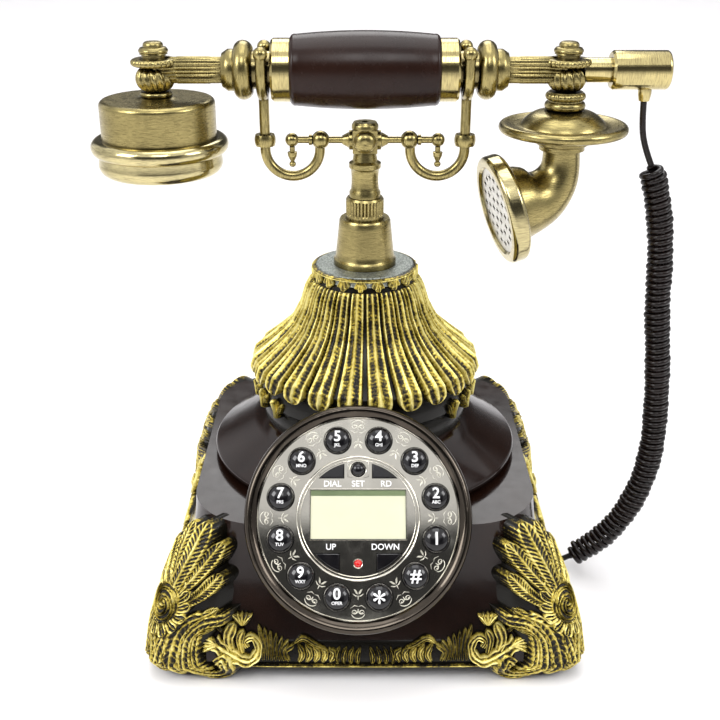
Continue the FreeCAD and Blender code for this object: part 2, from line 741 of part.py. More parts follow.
def cord_cap():
    """Stub tube and rounded end cap, with the cord's gland underneath."""
    stub = turned([(0, KNOB_RIGHT), (5.2, KNOB_RIGHT), (5.2, 105), (7.4, 105),
                   (CAP_R, 106), (CAP_R, CAP_END - 1.6), (CAP_R - 0.5, CAP_END - 0.5,
                   CAP_R - 1.6, CAP_END), (0, CAP_END)])
    cap = along_handset(stub, 1).cut(disc(KNOB_R, KNOB_LOW, KNOB_TOP, KNOB_RIGHT))
    cap = cap.cut(finials())
    gland = turned([(0, 244), (2.9, 244), (2.9, 239), (2.3, GLAND_LOW), (0, GLAND_LOW)])
    return cap.fuse(moved(gland, Vec(CORD_X, 0, 0))).removeSplitter()


# ---------------------------------------------------------------- cord
def cord_leads():
    """Straight ends of the cord, above the coil and from the coil to the plug."""
    leads = [bent_tube(LEAD_ROUTE, WIRE_R), bent_tube(TAIL_ROUTE, WIRE_R)]
    ends = coil_cord().fuse(cord_plug())
    return Part.makeCompound([lead.cut(ends) for lead in leads])


def coil_cord():
    """Outer shape of the curled length of the cord."""
    return bent_tube(COIL_ROUTE, COIL_R)


def cord_plug():
    return block((JACK_X - 3.8, JACK_Y - 3.3, 8.5), (JACK_X + 3.8, JACK_Y + 3.3, 18.5))


# ---------------------------------------------------------------- assembly
def all_pieces():
    """Name and shape of every node, about the stem's foot."""
    shell = body_shell()
    corners = corner_ornaments()
    arms = crossbar_arms()
    pieces = {
        "body_shell": shell,
        "base_plate": base_plate(shell),
        "rubber_feet": rubber_feet(),
        "base_screws": base_screws(),
        "corner_ornaments": corners,
        "apron_ornaments": apron_ornaments(corners),
        "shoulder_disc": shoulder_disc(),
        "bell_skirt": bell_skirt(),
        "bell_collar": bell_collar(),
        "cone_collar": cone_collar(),
        "hook_switch": hook_switch(),
        "circuit_boards": circuit_boards(),
        "ringer_speaker": moved(ringer_speaker(), Vec(0, -20, 0)),
        "phone_jacks": phone_jacks(),
        "dial_bezel": dial_bezel(),
        "dial_face": dial_face(),
        "lcd_panel": on_dial(lcd_block(-4.6, -2.0, 1.0)),
        "lcd_window": on_dial(lcd_block(-2.0, -0.5)),
        "indicator_lamp": lamp(),
        "stem_column": stem_column(),
        "knurled_sleeve": knurled_sleeve(),
        "plunger_spring": plunger_spring(),
        "hub_block": hub_block(),
        "crossbar_arms": arms,
        "pendants": pendants(),
        "cradle_forks": cradle_forks(arms),
        "handset_grip": handset_grip(),
        "grip_collars": grip_collars(),
        "neck_beads": neck_beads(),
        "arm_tubes": arm_tubes(),
        "end_knobs": end_knobs(),
        "finials": finials(),
        "receiver_cap": receiver_cap(),
        "earpiece": earpiece(),
        "transmitter_saucer": transmitter_saucer(),
        "transmitter_elbow": transmitter_elbow(),
        "mouthpiece_rim": mouthpiece_rim(),
        "mouthpiece_grille": mouthpiece_grille(),
        "voice_capsules": voice_capsules(),
        "cord_cap": cord_cap(),
        "cord_leads": cord_leads(),
        "coil_cord": coil_cord(),
        "cord_plug": cord_plug(),
    }
    pieces.update(keys())
    return pieces


CORD_NODES = ("cord_leads", "coil_cord", "cord_plug")

os.makedirs("parts", exist_ok=True)
whole = FreeCAD.BoundBox()
for node, shape in all_pieces().items():
    shape = moved(shape, STEM)
    if not shape.isValid() or not shape.Solids:
        print("not a valid solid:", node)
    shape.exportStep(f"parts/{node}.step")
    if node not in CORD_NODES:
        whole.add(shape.optimalBoundingBox(False))
print(f"phone without its cord: {whole.XLength:.2f} x {whole.YLength:.2f} x {whole.ZLength:.2f}")
print(f"middle of its box: {whole.Center.x:.2f}, {whole.Center.y:.2f}; lowest {whole.ZMin:.2f}")
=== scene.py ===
# %% [markdown]
# # A cradle telephone in the old French style
# This lesson dresses a telephone that already exists as an engineering model. The packed
# model gives every part its true size and place, so nothing here is moved to fit. Parts
# whose shape is already right are copied, merged and smoothed. Parts that carry carving,
# fluting, perforation or print are modelled again in full detail, in the same places.

# %% Load the frame
import bpy
import json
import math
import numpy as np
from mathutils import Matrix, Vector, noise

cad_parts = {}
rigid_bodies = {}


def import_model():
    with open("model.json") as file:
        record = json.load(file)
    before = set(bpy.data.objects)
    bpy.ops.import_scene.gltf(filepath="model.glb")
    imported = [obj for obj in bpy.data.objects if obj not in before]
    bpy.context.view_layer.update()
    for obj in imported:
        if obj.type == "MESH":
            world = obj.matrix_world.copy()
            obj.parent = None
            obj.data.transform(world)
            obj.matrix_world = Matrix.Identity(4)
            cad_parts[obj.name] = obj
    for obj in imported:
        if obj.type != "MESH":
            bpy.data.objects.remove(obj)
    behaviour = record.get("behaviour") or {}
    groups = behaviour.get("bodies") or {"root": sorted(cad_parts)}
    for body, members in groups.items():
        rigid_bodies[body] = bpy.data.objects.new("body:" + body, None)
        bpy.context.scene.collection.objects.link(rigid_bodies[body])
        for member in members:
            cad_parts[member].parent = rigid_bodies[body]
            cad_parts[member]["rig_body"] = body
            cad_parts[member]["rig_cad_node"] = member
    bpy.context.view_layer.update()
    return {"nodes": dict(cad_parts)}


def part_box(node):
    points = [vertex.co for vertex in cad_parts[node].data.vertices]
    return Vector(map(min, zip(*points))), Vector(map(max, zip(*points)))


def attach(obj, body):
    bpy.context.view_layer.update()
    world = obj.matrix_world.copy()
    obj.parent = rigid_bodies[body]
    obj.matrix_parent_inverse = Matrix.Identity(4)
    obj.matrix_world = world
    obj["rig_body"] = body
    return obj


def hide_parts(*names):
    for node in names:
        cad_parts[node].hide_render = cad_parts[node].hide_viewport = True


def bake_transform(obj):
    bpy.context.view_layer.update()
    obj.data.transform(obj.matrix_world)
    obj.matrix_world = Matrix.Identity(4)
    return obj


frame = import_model()
MM = 0.001
STEM = Vector((-5.0, 4.5, 0.0)) * MM        # foot of the stem, which the cradle rises along
print("frame loaded:", len(frame["nodes"]), "nodes")

# %% [markdown]
# ## The camera
# The camera stands half a metre in front of the phone, a little above its handset, and
# looks down by 24 degrees. A 55 mm lens on a 36 mm sensor keeps the verticals nearly upright.

# %% Camera
CAMERA_BACK = 480.0
CAMERA_HEIGHT = 327.0
CAMERA_DOWN = 24.0
bpy.ops.object.select_all(action="DESELECT")
bpy.ops.object.camera_add(
    location=(STEM.x - 2.2 * MM, STEM.y - CAMERA_BACK * MM, CAMERA_HEIGHT * MM),
    rotation=(math.radians(90 - CAMERA_DOWN), 0, 0))
camera = bpy.context.active_object
camera.name = "camera"
camera.data.lens = 55
camera.data.sensor_width = 36
camera.data.clip_start = 0.01
bpy.context.scene.camera = camera
bpy.context.scene.view_settings.view_transform = "Standard"
print("camera at", tuple(round(v, 3) for v in camera.location))

# %% [markdown]
# ## Helpers for finishing a piece
# Every finished piece needs the same last steps: its place goes into its mesh, it gets a
# material, it rides on one body of the frame, and it may stand for a part of the model.
# One function does all of that, so no step is forgotten.

# %% Finish a piece
def deselect():
    """Leave edit mode with nothing selected."""
    if bpy.context.object and bpy.context.object.mode != "OBJECT":
        bpy.ops.object.mode_set(mode="OBJECT")
    bpy.ops.object.select_all(action="DESELECT")


def select_only(piece):
    deselect()
    piece.select_set(True)
    bpy.context.view_layer.objects.active = piece


def finish(piece, body, material, slot, replaced=(), angle=40):
    """Bake a piece's place, shade it, and give it its material and body; slot is not used."""
    select_only(piece)
    bpy.ops.object.transform_apply(location=True, rotation=True, scale=True)
    if angle is not None:
        bpy.ops.object.shade_smooth_by_angle(angle=math.radians(angle))
    piece.data.materials.clear()
    piece.data.materials.append(material)
    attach(piece, body)
    if replaced:
        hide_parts(*replaced)
    return piece


# %% Smooth copies of the model's parts
def smoothed(node, material, body, slot, angle=35):
    """A merged, smooth-shaded copy of a part whose shape is already right."""
    source = frame["nodes"][node]
    select_only(source)
    bpy.ops.object.duplicate()
    piece = bpy.context.active_object
    piece.name = node + "_skin"
    piece.parent = None
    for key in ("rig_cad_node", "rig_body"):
        if key in piece:
            del piece[key]
    bpy.ops.object.mode_set(mode="EDIT")
    bpy.ops.mesh.select_all(action="SELECT")
    bpy.ops.mesh.remove_doubles(threshold=2e-6)
    bpy.ops.object.mode_set(mode="OBJECT")
    bpy.ops.mesh.customdata_custom_splitnormals_clear()
    return finish(piece, body, material, slot, (node,), angle)


# %% [markdown]
# ## Turned pieces
# Most brass parts come off a lathe. A lathe part is an outline spun about an axis: one
# vertex is extruded from point to point, and the Spin tool turns the line into a surface.
# Rounded stretches are arcs, worked out by a short formula.

# %% Lathe
def arc(centre_r, centre_z, radius, first, last, steps=6):
    """Points of an arc in an outline, between two angles in degrees."""
    turns = np.radians(np.linspace(first, last, steps + 1))
    return [(centre_r + radius * math.cos(a), centre_z + radius * math.sin(a)) for a in turns]


def spun(name, outline, steps=96, at=(0, 0, 0), tilt=(0, 0, 0)):
    """Turn an outline of (radius, height) points, in millimetres, about Z, then place it."""
    deselect()
    bpy.ops.mesh.primitive_plane_add(size=MM)
    piece = bpy.context.active_object
    piece.name = name
    bpy.ops.object.mode_set(mode="EDIT")
    bpy.ops.mesh.select_mode(type="VERT")
    bpy.ops.mesh.merge(type="CENTER")
    here = outline[0]
    bpy.ops.transform.translate(value=(here[0] * MM, 0, here[1] * MM))
    for there in outline[1:]:
        step = ((there[0] - here[0]) * MM, 0, (there[1] - here[1]) * MM)
        bpy.ops.mesh.extrude_region_move(TRANSFORM_OT_translate={"value": step})
        here = there
    bpy.ops.mesh.select_all(action="SELECT")
    bpy.ops.mesh.spin(steps=steps, angle=2 * math.pi, center=(0, 0, 0), axis=(0, 0, 1))
    bpy.ops.mesh.select_all(action="SELECT")
    bpy.ops.mesh.remove_doubles(threshold=2e-6)
    bpy.ops.mesh.normals_make_consistent(inside=False)
    bpy.ops.object.mode_set(mode="OBJECT")
    piece.rotation_euler = tilt
    piece.location = Vector(at) * MM + STEM
    bpy.ops.object.transform_apply(location=True, rotation=True, scale=True)
    return piece


def copy_of(piece, name):
    """A copy with its own mesh."""
    select_only(piece)
    bpy.ops.object.duplicate()
    twin = bpy.context.active_object
    twin.name = name
    return twin


def joined(pieces, name):
    """Several pieces as one object."""
    deselect()
    for piece in pieces:
        piece.select_set(True)
    bpy.context.view_layer.objects.active = pieces[0]
    bpy.ops.object.join()
    result = bpy.context.active_object
    result.name = name
    return result


def reshape(piece, rule):
    """Move every vertex by a rule that takes and gives an array of places, in metres."""
    count = len(piece.data.vertices)
    places = np.empty(count * 3)
    piece.data.vertices.foreach_get("co", places)
    places = rule(places.reshape(count, 3))
    piece.data.vertices.foreach_set("co", places.ravel())
    piece.data.update()


print("helpers ready")

# %% [markdown]
# ## Materials
# Each finish is a small node network on object coordinates, so a pattern stays put on its
# part. Old brass is never one colour: it is brighter where hands rub it and browner in its
# grooves, with fine brush marks that run round each turned part. The gilt relief is black
# resin with gold paint dragged over its high places, with a painted highlight in pale gold
# on its ribs and rims. Both come from an attribute called relief that the carving tools
# write on their meshes.

# %% Material helpers
class Finish:
    """A material with short ways to add and link its nodes."""

    def __init__(self, name):
        self.material = bpy.data.materials.new(name)
        self.material.use_nodes = True
        self.tree = self.material.node_tree
        self.shader = self.tree.nodes["Principled BSDF"]
        self.place = self.tree.nodes.new("ShaderNodeTexCoord").outputs["Object"]

    def add(self, kind, **settings):
        node = self.tree.nodes.new(kind)
        for key, value in settings.items():
            setattr(node, key, value)
        return node

    def link(self, output, socket):
        self.tree.links.new(output, socket)

    def set(self, **values):
        """Set shader sockets by name, with _ for a space."""
        for key, value in values.items():
            self.shader.inputs[key.replace("_", " ")].default_value = value

    def noise(self, scale, detail=3.0, rough=0.5, stretch=(1, 1, 1)):
        """Noise whose features are 1 / scale of a metre, stretched along the axes."""
        mapping = self.add("ShaderNodeMapping")
        mapping.inputs["Scale"].default_value = stretch
        self.link(self.place, mapping.inputs["Vector"])
        node = self.add("ShaderNodeTexNoise")
        node.inputs["Scale"].default_value = scale
        node.inputs["Detail"].default_value = detail
        node.inputs["Roughness"].default_value = rough
        self.link(mapping.outputs["Vector"], node.inputs["Vector"])
        return node.outputs["Fac"]

    def ramp(self, factor, stops):
        """Colours at positions along a factor."""
        node = self.add("ShaderNodeValToRGB")
        elements = node.color_ramp.elements
        while len(elements) < len(stops):
            elements.new(0.5)
        for element, (position, colour) in zip(elements, stops):
            element.position = position
            element.color = tuple(colour) + (1.0,)
        self.link(factor, node.inputs["Fac"])
        return node.outputs["Color"]

    def spread(self, factor, low, high, first=0.3, last=0.7):
        """Map a factor to a range of numbers."""
        node = self.add("ShaderNodeMapRange")
        node.inputs["From Min"].default_value = first
        node.inputs["From Max"].default_value = last
        node.inputs["To Min"].default_value = low
        node.inputs["To Max"].default_value = high
        self.link(factor, node.inputs["Value"])
        return node.outputs["Result"]

    def math(self, operation, first, second):
        node = self.add("ShaderNodeMath", operation=operation)
        for socket, value in zip(node.inputs, (first, second)):
            if isinstance(value, (int, float)):
                socket.default_value = value
            else:
                self.link(value, socket)
        return node.outputs["Value"]

    def mix(self, factor, first, second):
        """Mix two colours, given as outputs or as three numbers."""
        node = self.add("ShaderNodeMix", data_type="RGBA")
        self.link(factor, node.inputs["Factor"])
        for socket, value in ((node.inputs[6], first), (node.inputs[7], second)):
            if isinstance(value, tuple):
                socket.default_value = value + (1.0,)
            else:
                self.link(value, socket)
        return node.outputs[2]

    def bump(self, height, distance, strength):
        node = self.add("ShaderNodeBump")
        node.inputs["Strength"].default_value = strength
        node.inputs["Distance"].default_value = distance
        self.link(height, node.inputs["Height"])
        self.link(node.outputs["Normal"], self.shader.inputs["Normal"])

    def colour(self, output):
        self.link(output, self.shader.inputs["Base Color"])

    def roughness(self, output):
        self.link(output, self.shader.inputs["Roughness"])


# %% Brass finishes
def brass(name, light, dark, brush, rough, depth=0.00003):
    """Aged brass with brush marks; brush stretches them, so they run round the axis."""
    f = Finish(name)
    f.set(Metallic=1.0)
    patches = f.noise(55, 4, 0.6)
    marks = f.noise(260, 5, 0.65, brush)
    hollow = f.add("ShaderNodeAmbientOcclusion", samples=6)
    hollow.inputs["Distance"].default_value = 0.004
    tone = f.mix(f.spread(patches, 0.0, 1.0, 0.35, 0.7), light, tuple(0.72 * c for c in light))
    tone = f.mix(f.spread(marks, 0.0, 0.65, 0.45, 0.72), tone, dark)
    f.colour(f.mix(f.spread(hollow.outputs["AO"], 1.0, 0.0, 0.25, 0.8), tone, dark))
    f.roughness(f.spread(marks, rough - 0.05, rough + 0.14, 0.3, 0.75))
    f.bump(marks, depth, 0.35)
    return f.material


BRASS_LIGHT = (0.40, 0.33, 0.135)
BRASS_DARK = (0.030, 0.020, 0.008)
ROUND_Z = (1, 1, 14)
ROUND_X = (14, 1, 1)
brass_upright = brass("brass_upright", BRASS_LIGHT, BRASS_DARK, ROUND_Z, 0.24)
brass_along = brass("brass_along", BRASS_LIGHT, BRASS_DARK, ROUND_X, 0.22)
brass_polished = brass("brass_polished", (0.60, 0.52, 0.27), BRASS_DARK, ROUND_Z, 0.12, 0.00001)
brass_polished_x = brass("brass_polished_x", (0.62, 0.52, 0.24), BRASS_DARK, ROUND_X, 0.12, 0.00001)
print("brass finishes ready")


# %% Gilt relief
def gilt(name, bright=1.0):
    """Black resin with gold dragged where relief is high; ribs and rims get a painted highlight."""
    f = Finish(name)
    f.shader.inputs["Specular IOR Level"].default_value = 0.2
    # relief holds the strips' gold, together with a painted highlight on ribs and rims
    relief = f.add("ShaderNodeAttribute", attribute_name="relief").outputs["Fac"]
    grain = f.noise(900, 4, 0.65)
    blotch = f.noise(120, 3, 0.6)
    height = f.math("ADD", relief, f.spread(grain, -0.16, 0.16, 0.3, 0.7))
    height = f.math("ADD", height, f.spread(blotch, -0.20, 0.16, 0.3, 0.7))
    gold = (0.52 * bright, 0.40 * bright, 0.06 * bright)
    # Black resin low and gold paint in the middle; the pale gold top stop is a painted highlight that
    # ribs and rims reach
    f.colour(f.ramp(height, [
        (0.35, (0.006, 0.005, 0.003)), (0.49, (0.10, 0.075, 0.014)), (0.62, gold),
        (0.90, (0.88 * bright, 0.78 * bright, 0.30 * bright))]))
    f.link(f.spread(height, 0.0, 0.55, 0.4, 0.62), f.shader.inputs["Metallic"])
    f.roughness(f.spread(height, 0.26, 0.38, 0.3, 0.7))
    f.bump(grain, 0.00012, 0.5)
    return f.material


gilt_relief = gilt("gilt_relief")
gilt_dark = gilt("gilt_dark", 0.62)


# %% Lacquers, plastics and plating
def lacquer(name, low, high, rough, coat=0.0, wave=40, depth=0.00002, metallic=0.0, gloss=0.5):
    """Smooth coloured surface with a slow colour drift and a faint orange peel."""
    f = Finish(name)
    f.set(Metallic=metallic)
    f.shader.inputs["Coat Weight"].default_value = coat
    f.shader.inputs["Specular IOR Level"].default_value = gloss
    f.shader.inputs["Coat Roughness"].default_value = 0.06
    drift = f.noise(wave, 4, 0.55)
    peel = f.noise(700, 2, 0.5)
    f.colour(f.mix(f.spread(drift, 0.0, 1.0), low, high))
    f.roughness(f.spread(f.noise(130, 5, 0.6), max(rough - 0.03, 0.01), rough + 0.07))
    f.bump(peel, depth, 0.25)
    return f.material


espresso = lacquer("espresso_lacquer", (0.008, 0.0032, 0.002), (0.015, 0.0065, 0.004), 0.14, 0.12,
                   gloss=0.28)
grip_brown = lacquer("grip_brown", (0.012, 0.0045, 0.003), (0.020, 0.008, 0.005), 0.24, 0.0, 25,
                     gloss=0.22)
key_black = lacquer("key_black", (0.003, 0.003, 0.004), (0.007, 0.006, 0.007), 0.07, 0.3, 300,
                    gloss=0.35)
cord_sheath = lacquer("cord_sheath", (0.004, 0.002, 0.0016), (0.009, 0.0045, 0.0035), 0.24, 0.0, 90,
                      gloss=0.3)
bezel_bronze = lacquer("bezel_bronze", (0.050, 0.042, 0.034), (0.085, 0.072, 0.058), 0.10, 0.0,
                       60, 0.00001, 1.0)
dial_mirror = lacquer("dial_mirror", (0.42, 0.40, 0.35), (0.52, 0.50, 0.44), 0.02, 0.0,
                      45, 0.000006, 1.0)
ring_chrome = lacquer("ring_chrome", (0.66, 0.63, 0.55), (0.78, 0.75, 0.66), 0.10, 0.0,
                      200, 0.00001, 1.0)
motif_silver = lacquer("motif_silver", (0.62, 0.60, 0.50), (0.84, 0.81, 0.70), 0.25, 0.0,
                       500, 0.00001, 0.25)
print_white = lacquer("print_white", (0.80, 0.80, 0.80), (0.92, 0.92, 0.92), 0.45, 0.0, 900)
lcd_cream = lacquer("lcd_cream", (0.62, 0.62, 0.44), (0.66, 0.66, 0.48), 0.55, 0.0, 60)
# Dark green for a painted shadow strip along the top of the display
lcd_shade = lacquer("lcd_shade", (0.10, 0.14, 0.06), (0.15, 0.20, 0.09), 0.4, 0.0, 80)
lamp_red = lacquer("lamp_red", (0.55, 0.004, 0.004), (0.75, 0.010, 0.008), 0.10, 0.5, 400)
grille_silver = lacquer("grille_silver", (0.50, 0.49, 0.43), (0.62, 0.60, 0.53), 0.30, 0.0,
                        220, 0.00002, 0.9)
black_resin = lacquer("black_resin", (0.012, 0.011, 0.010), (0.022, 0.020, 0.018), 0.5, 0.0, 150,
                      gloss=0.3)
foot_rubber = lacquer("foot_rubber", (0.014, 0.014, 0.014), (0.028, 0.028, 0.027), 0.8, 0.0,
                      300, 0.0001)
plain_steel = lacquer("plain_steel", (0.50, 0.50, 0.50), (0.62, 0.62, 0.62), 0.25, 0.0,
                      300, 0.00002, 1.0)
board_green = lacquer("board_green", (0.012, 0.09, 0.03), (0.02, 0.13, 0.05), 0.4, 0.2, 90)


# %% Speckled grey of the bell's top
def speckle():
    """Hammered grey metal paint, in fine light and dark grains."""
    f = Finish("speckled_grey")
    grain = f.noise(1500, 3, 0.7)
    f.set(Metallic=0.7)
    f.colour(f.ramp(grain, [(0.34, (0.03, 0.032, 0.03)), (0.47, (0.20, 0.22, 0.20)),
                            (0.60, (0.36, 0.39, 0.36)), (0.74, (0.75, 0.76, 0.66))]))
    f.roughness(f.spread(grain, 0.30, 0.5))
    f.bump(grain, 0.0002, 0.6)
    return f.material


speckled_grey = speckle()
print("materials:", len(bpy.data.materials))

# %% [markdown]
# ## Floor and light
# A plain pale floor fills the view. Soft boxes stand on both sides, overhead and behind, and
# the world between them is darker, so that the brass has both bright bands and deep ones. The
# world also has a sharp edge in height: the leaning dial mirrors it as its bright upper half
# and dark lower half.

# %% Floor
floor_finish = Finish("floor_finish")
floor_finish.colour(floor_finish.mix(floor_finish.noise(2.5, 2), (0.86, 0.845, 0.85),
                                     (0.90, 0.885, 0.885)))
floor_finish.roughness(floor_finish.spread(floor_finish.noise(30, 3), 0.42, 0.55))
deselect()
bpy.ops.mesh.primitive_plane_add(size=60)
floor = bpy.context.active_object
floor.name = "floor"
floor.data.materials.append(floor_finish.material)
print("floor laid")

# %% World
world = bpy.data.worlds.new("studio")
bpy.context.scene.world = world
world.use_nodes = True
sky = world.node_tree
sky_place = sky.nodes.new("ShaderNodeTexCoord")
sky_axes = sky.nodes.new("ShaderNodeSeparateXYZ")
sky.links.new(sky_place.outputs["Generated"], sky_axes.inputs["Vector"])


def sky_ramp(axis, stops):
    """Brightness of the studio along one axis of the direction of view."""
    node = sky.nodes.new("ShaderNodeValToRGB")
    scaled = sky.nodes.new("ShaderNodeMapRange")
    scaled.inputs["From Min"].default_value = -1
    sky.links.new(sky_axes.outputs[axis], scaled.inputs["Value"])
    sky.links.new(scaled.outputs["Result"], node.inputs["Fac"])
    elements = node.color_ramp.elements
    while len(elements) < len(stops):
        elements.new(0.5)
    for element, (position, level) in zip(elements, stops):
        element.position = (position + 1) / 2
        element.color = (level, level, level * 1.02, 1)
    return node.outputs["Color"]


overhead = sky_ramp("Z", [(0.0, 0.30), (0.12, 0.10), (0.47, 0.02), (0.50, 0.6), (0.515, 0.008),
                          (0.572, 0.008), (0.590, 0.95), (1.0, 1.0)])
windows = sky_ramp("X", [(-0.95, 0.75), (-0.62, 0.80), (-0.5, 0.06), (0.62, 0.05), (0.74, 0.5),
                         (0.98, 0.55)])
lighter = sky.nodes.new("ShaderNodeMix")
lighter.data_type = "RGBA"
lighter.blend_type = "LIGHTEN"
lighter.inputs["Factor"].default_value = 1
sky.links.new(overhead, lighter.inputs[6])
sky.links.new(windows, lighter.inputs[7])
sky.links.new(lighter.outputs[2], sky.nodes["Background"].inputs["Color"])
sky.nodes["Background"].inputs["Strength"].default_value = 1.25
print("studio world ready")

# %% Soft boxes
SOFT_BOXES = {
    "left_box": ((-1.0, -0.6, 1.0), 0.6, 9),
    "right_box": ((1.0, -0.4, 0.9), 0.5, 5),
    "top_box": ((0.0, 0.2, 1.6), 1.0, 7),
    "front_box": ((0.05, -0.95, 1.25), 0.5, 4),
    "back_box": ((0.0, 2.6, 2.4), 1.8, 32),
}
for name, (place, size, power) in SOFT_BOXES.items():
    aim = (Vector((0, 0, 0.12)) - Vector(place)).to_track_quat("-Z", "Y").to_euler()
    bpy.ops.object.light_add(type="AREA", location=place, rotation=aim)
    box_light = bpy.context.active_object
    box_light.name = name
    box_light.data.size = size
    box_light.data.energy = power
print("lights:", len(SOFT_BOXES))

# %% [markdown]
# ## The curly cord
# A handset cord is a thin sheathed wire wound into a tight coil, with a short straight
# lead at each end. It hangs from the gland in the handset's end cap, sags clear of the base
# and comes down to the floor beside it, where its plain end goes under the base to its
# socket. The route is three lists of points, the same as in the engineering model, each
# the control points of a smooth spline. The helix is then worked out round the middle one,
# and a round section is swept along the whole wire.

# %% Cord route
WIRE_R = 1.4
COIL_R = 6.4
COIL_PITCH = 2.93
LEAD_ROUTE = [(120.5, 0, 235.95), (120.7, 0, 226), (122.8, 0, 216), (126.8, 0, 207.5)]
COIL_ROUTE = [
    (126.8, 0, 207.5), (132.2, 0, 190), (135.6, 0, 166), (136.2, -1, 141), (139.4, -2, 115),
    (141.0, -3, 90), (141.0, -5, 67), (136.8, -6, 46), (128.0, -7, 27.5), (115.5, -8, 14),
    (104.5, -8, 7.6)]
TAIL_ROUTE = [
    (104.5, -8, 7.6), (97.0, -8, 3.6), (89.5, -8, 2.1), (83.0, -8, 2.2), (78.2, -8, 4.2),
    (76.0, -8, 8.5)]


def spline_points(route):
    """Points read from the smooth spline that a route controls, in metres."""
    line = bpy.data.curves.new("route", "CURVE")
    line.dimensions = "3D"
    spline = line.splines.new("NURBS")
    spline.points.add(len(route) - 1)
    for point, place in zip(spline.points, route):
        point.co = tuple(Vector(place) * MM + STEM) + (1.0,)
    spline.order_u = 3
    spline.use_endpoint_u = True
    spline.resolution_u = 24
    holder = bpy.data.objects.new("route", line)
    bpy.context.scene.collection.objects.link(holder)
    mesh = bpy.data.meshes.new_from_object(holder)
    points = [v.co.copy() for v in mesh.vertices]
    bpy.data.objects.remove(holder)
    bpy.data.curves.remove(line)
    bpy.data.meshes.remove(mesh)
    return points


def along(points, distances):
    """Places at distances along a line of points, and the line's headings there."""
    places = np.array([tuple(p) for p in points])
    steps = np.linalg.norm(np.diff(places, axis=0), axis=1)
    walked = np.concatenate([[0], np.cumsum(steps)])
    found = np.column_stack([np.interp(distances, walked, places[:, i]) for i in range(3)])
    ahead = np.column_stack([
        np.interp(np.asarray(distances) + 0.0004, walked, places[:, i]) for i in range(3)])
    behind = np.column_stack([
        np.interp(np.asarray(distances) - 0.0004, walked, places[:, i]) for i in range(3)])
    heading = ahead - behind
    return found, heading / np.linalg.norm(heading, axis=1)[:, None], walked[-1]


# %% Wind the coil
TURN_STEPS = 22
EASE_TURNS = 1.2                 # over which the coil opens out from the straight lead
coil_line = spline_points(COIL_ROUTE)
coil_length = along(coil_line, [0])[2]
turns = int(coil_length / (COIL_PITCH * MM))
distances = np.linspace(0, coil_length, turns * TURN_STEPS + 1)
centres, headings, _ = along(coil_line, distances)
side = np.tile(np.array([0.0, 1.0, 0.0]), (len(centres), 1))
side -= headings * np.sum(side * headings, axis=1)[:, None]
side /= np.linalg.norm(side, axis=1)[:, None]
across = np.cross(headings, side)
turn = np.linspace(0, turns, len(centres))
ease = np.clip(np.minimum(turn, turns - turn) / EASE_TURNS, 0, 1)
ease = ease * ease * (3 - 2 * ease)
loose = 1 + 0.035 * np.sin(turn * 2.4) + 0.03 * np.sin(turn * 0.77 + 1.0)
radius = (COIL_R - WIRE_R) * MM * 0.94 * ease * loose
angle = 2 * math.pi * turn + math.pi
helix = centres + side * (radius * np.cos(angle))[:, None]
helix += across * (radius * np.sin(angle))[:, None]
wire = [tuple(p) for p in spline_points(LEAD_ROUTE)[:-1]] + [tuple(p) for p in helix]
wire += [tuple(p) for p in spline_points(TAIL_ROUTE)[1:]]
wire = np.array(wire)
keep = np.concatenate([[True], np.linalg.norm(np.diff(wire, axis=0), axis=1) > 1e-5])
wire = wire[keep]
wire_length = float(np.sum(np.linalg.norm(np.diff(wire, axis=0), axis=1)))
print(f"coil of {turns} turns, wire {wire_length:.3f} m long")


# %% Sweep the sheath along the wire
def swept(name, line, radius_at, sides=8):
    """A closed round tube along a line of places; its radius may change on the way."""
    line = np.asarray(line)
    heading = np.gradient(line, axis=0)
    heading /= np.linalg.norm(heading, axis=1)[:, None]
    first = np.cross(heading[0], (0.3, 1.0, 0.2))
    rings = []
    for place, direction, ring_r in zip(line, heading, radius_at):
        first = first - direction * np.dot(first, direction)
        first /= np.linalg.norm(first)
        second = np.cross(direction, first)
        spin = np.arange(sides) * 2 * math.pi / sides
        rings.append(place + ring_r * (np.outer(np.cos(spin), first)
                                       + np.outer(np.sin(spin), second)))
    vertices = np.concatenate(rings)
    faces = []
    for ring in range(len(line) - 1):
        for s in range(sides):
            a, b = ring * sides + s, ring * sides + (s + 1) % sides
            faces.append((a, b, b + sides, a + sides))
    faces.append(tuple(reversed(range(sides))))
    faces.append(tuple(range(len(vertices) - sides, len(vertices))))
    mesh = bpy.data.meshes.new(name)
    mesh.from_pydata([tuple(v) for v in vertices], [], faces)
    piece = bpy.data.objects.new(name, mesh)
    bpy.context.scene.collection.objects.link(piece)
    return piece


cord = swept("handset_cord", wire, np.full(len(wire), WIRE_R * MM))
select_only(cord)
bpy.ops.object.shade_smooth()
cord.data.materials.append(cord_sheath)
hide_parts("cord_leads", "coil_cord")
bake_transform(cord)
frame["nodes"]["cord_plug"].data.materials.clear()
frame["nodes"]["cord_plug"].data.materials.append(black_resin)
tuple(float(v) for v in wire[0])
[tuple(float(v) for v in p) for p in wire]

# %% [markdown]
# ## Plain parts of the model
# These parts already have their true shape. Each gets a merged copy with smooth shading,
# because the model's own mesh is loose triangles, which cannot share their normals.

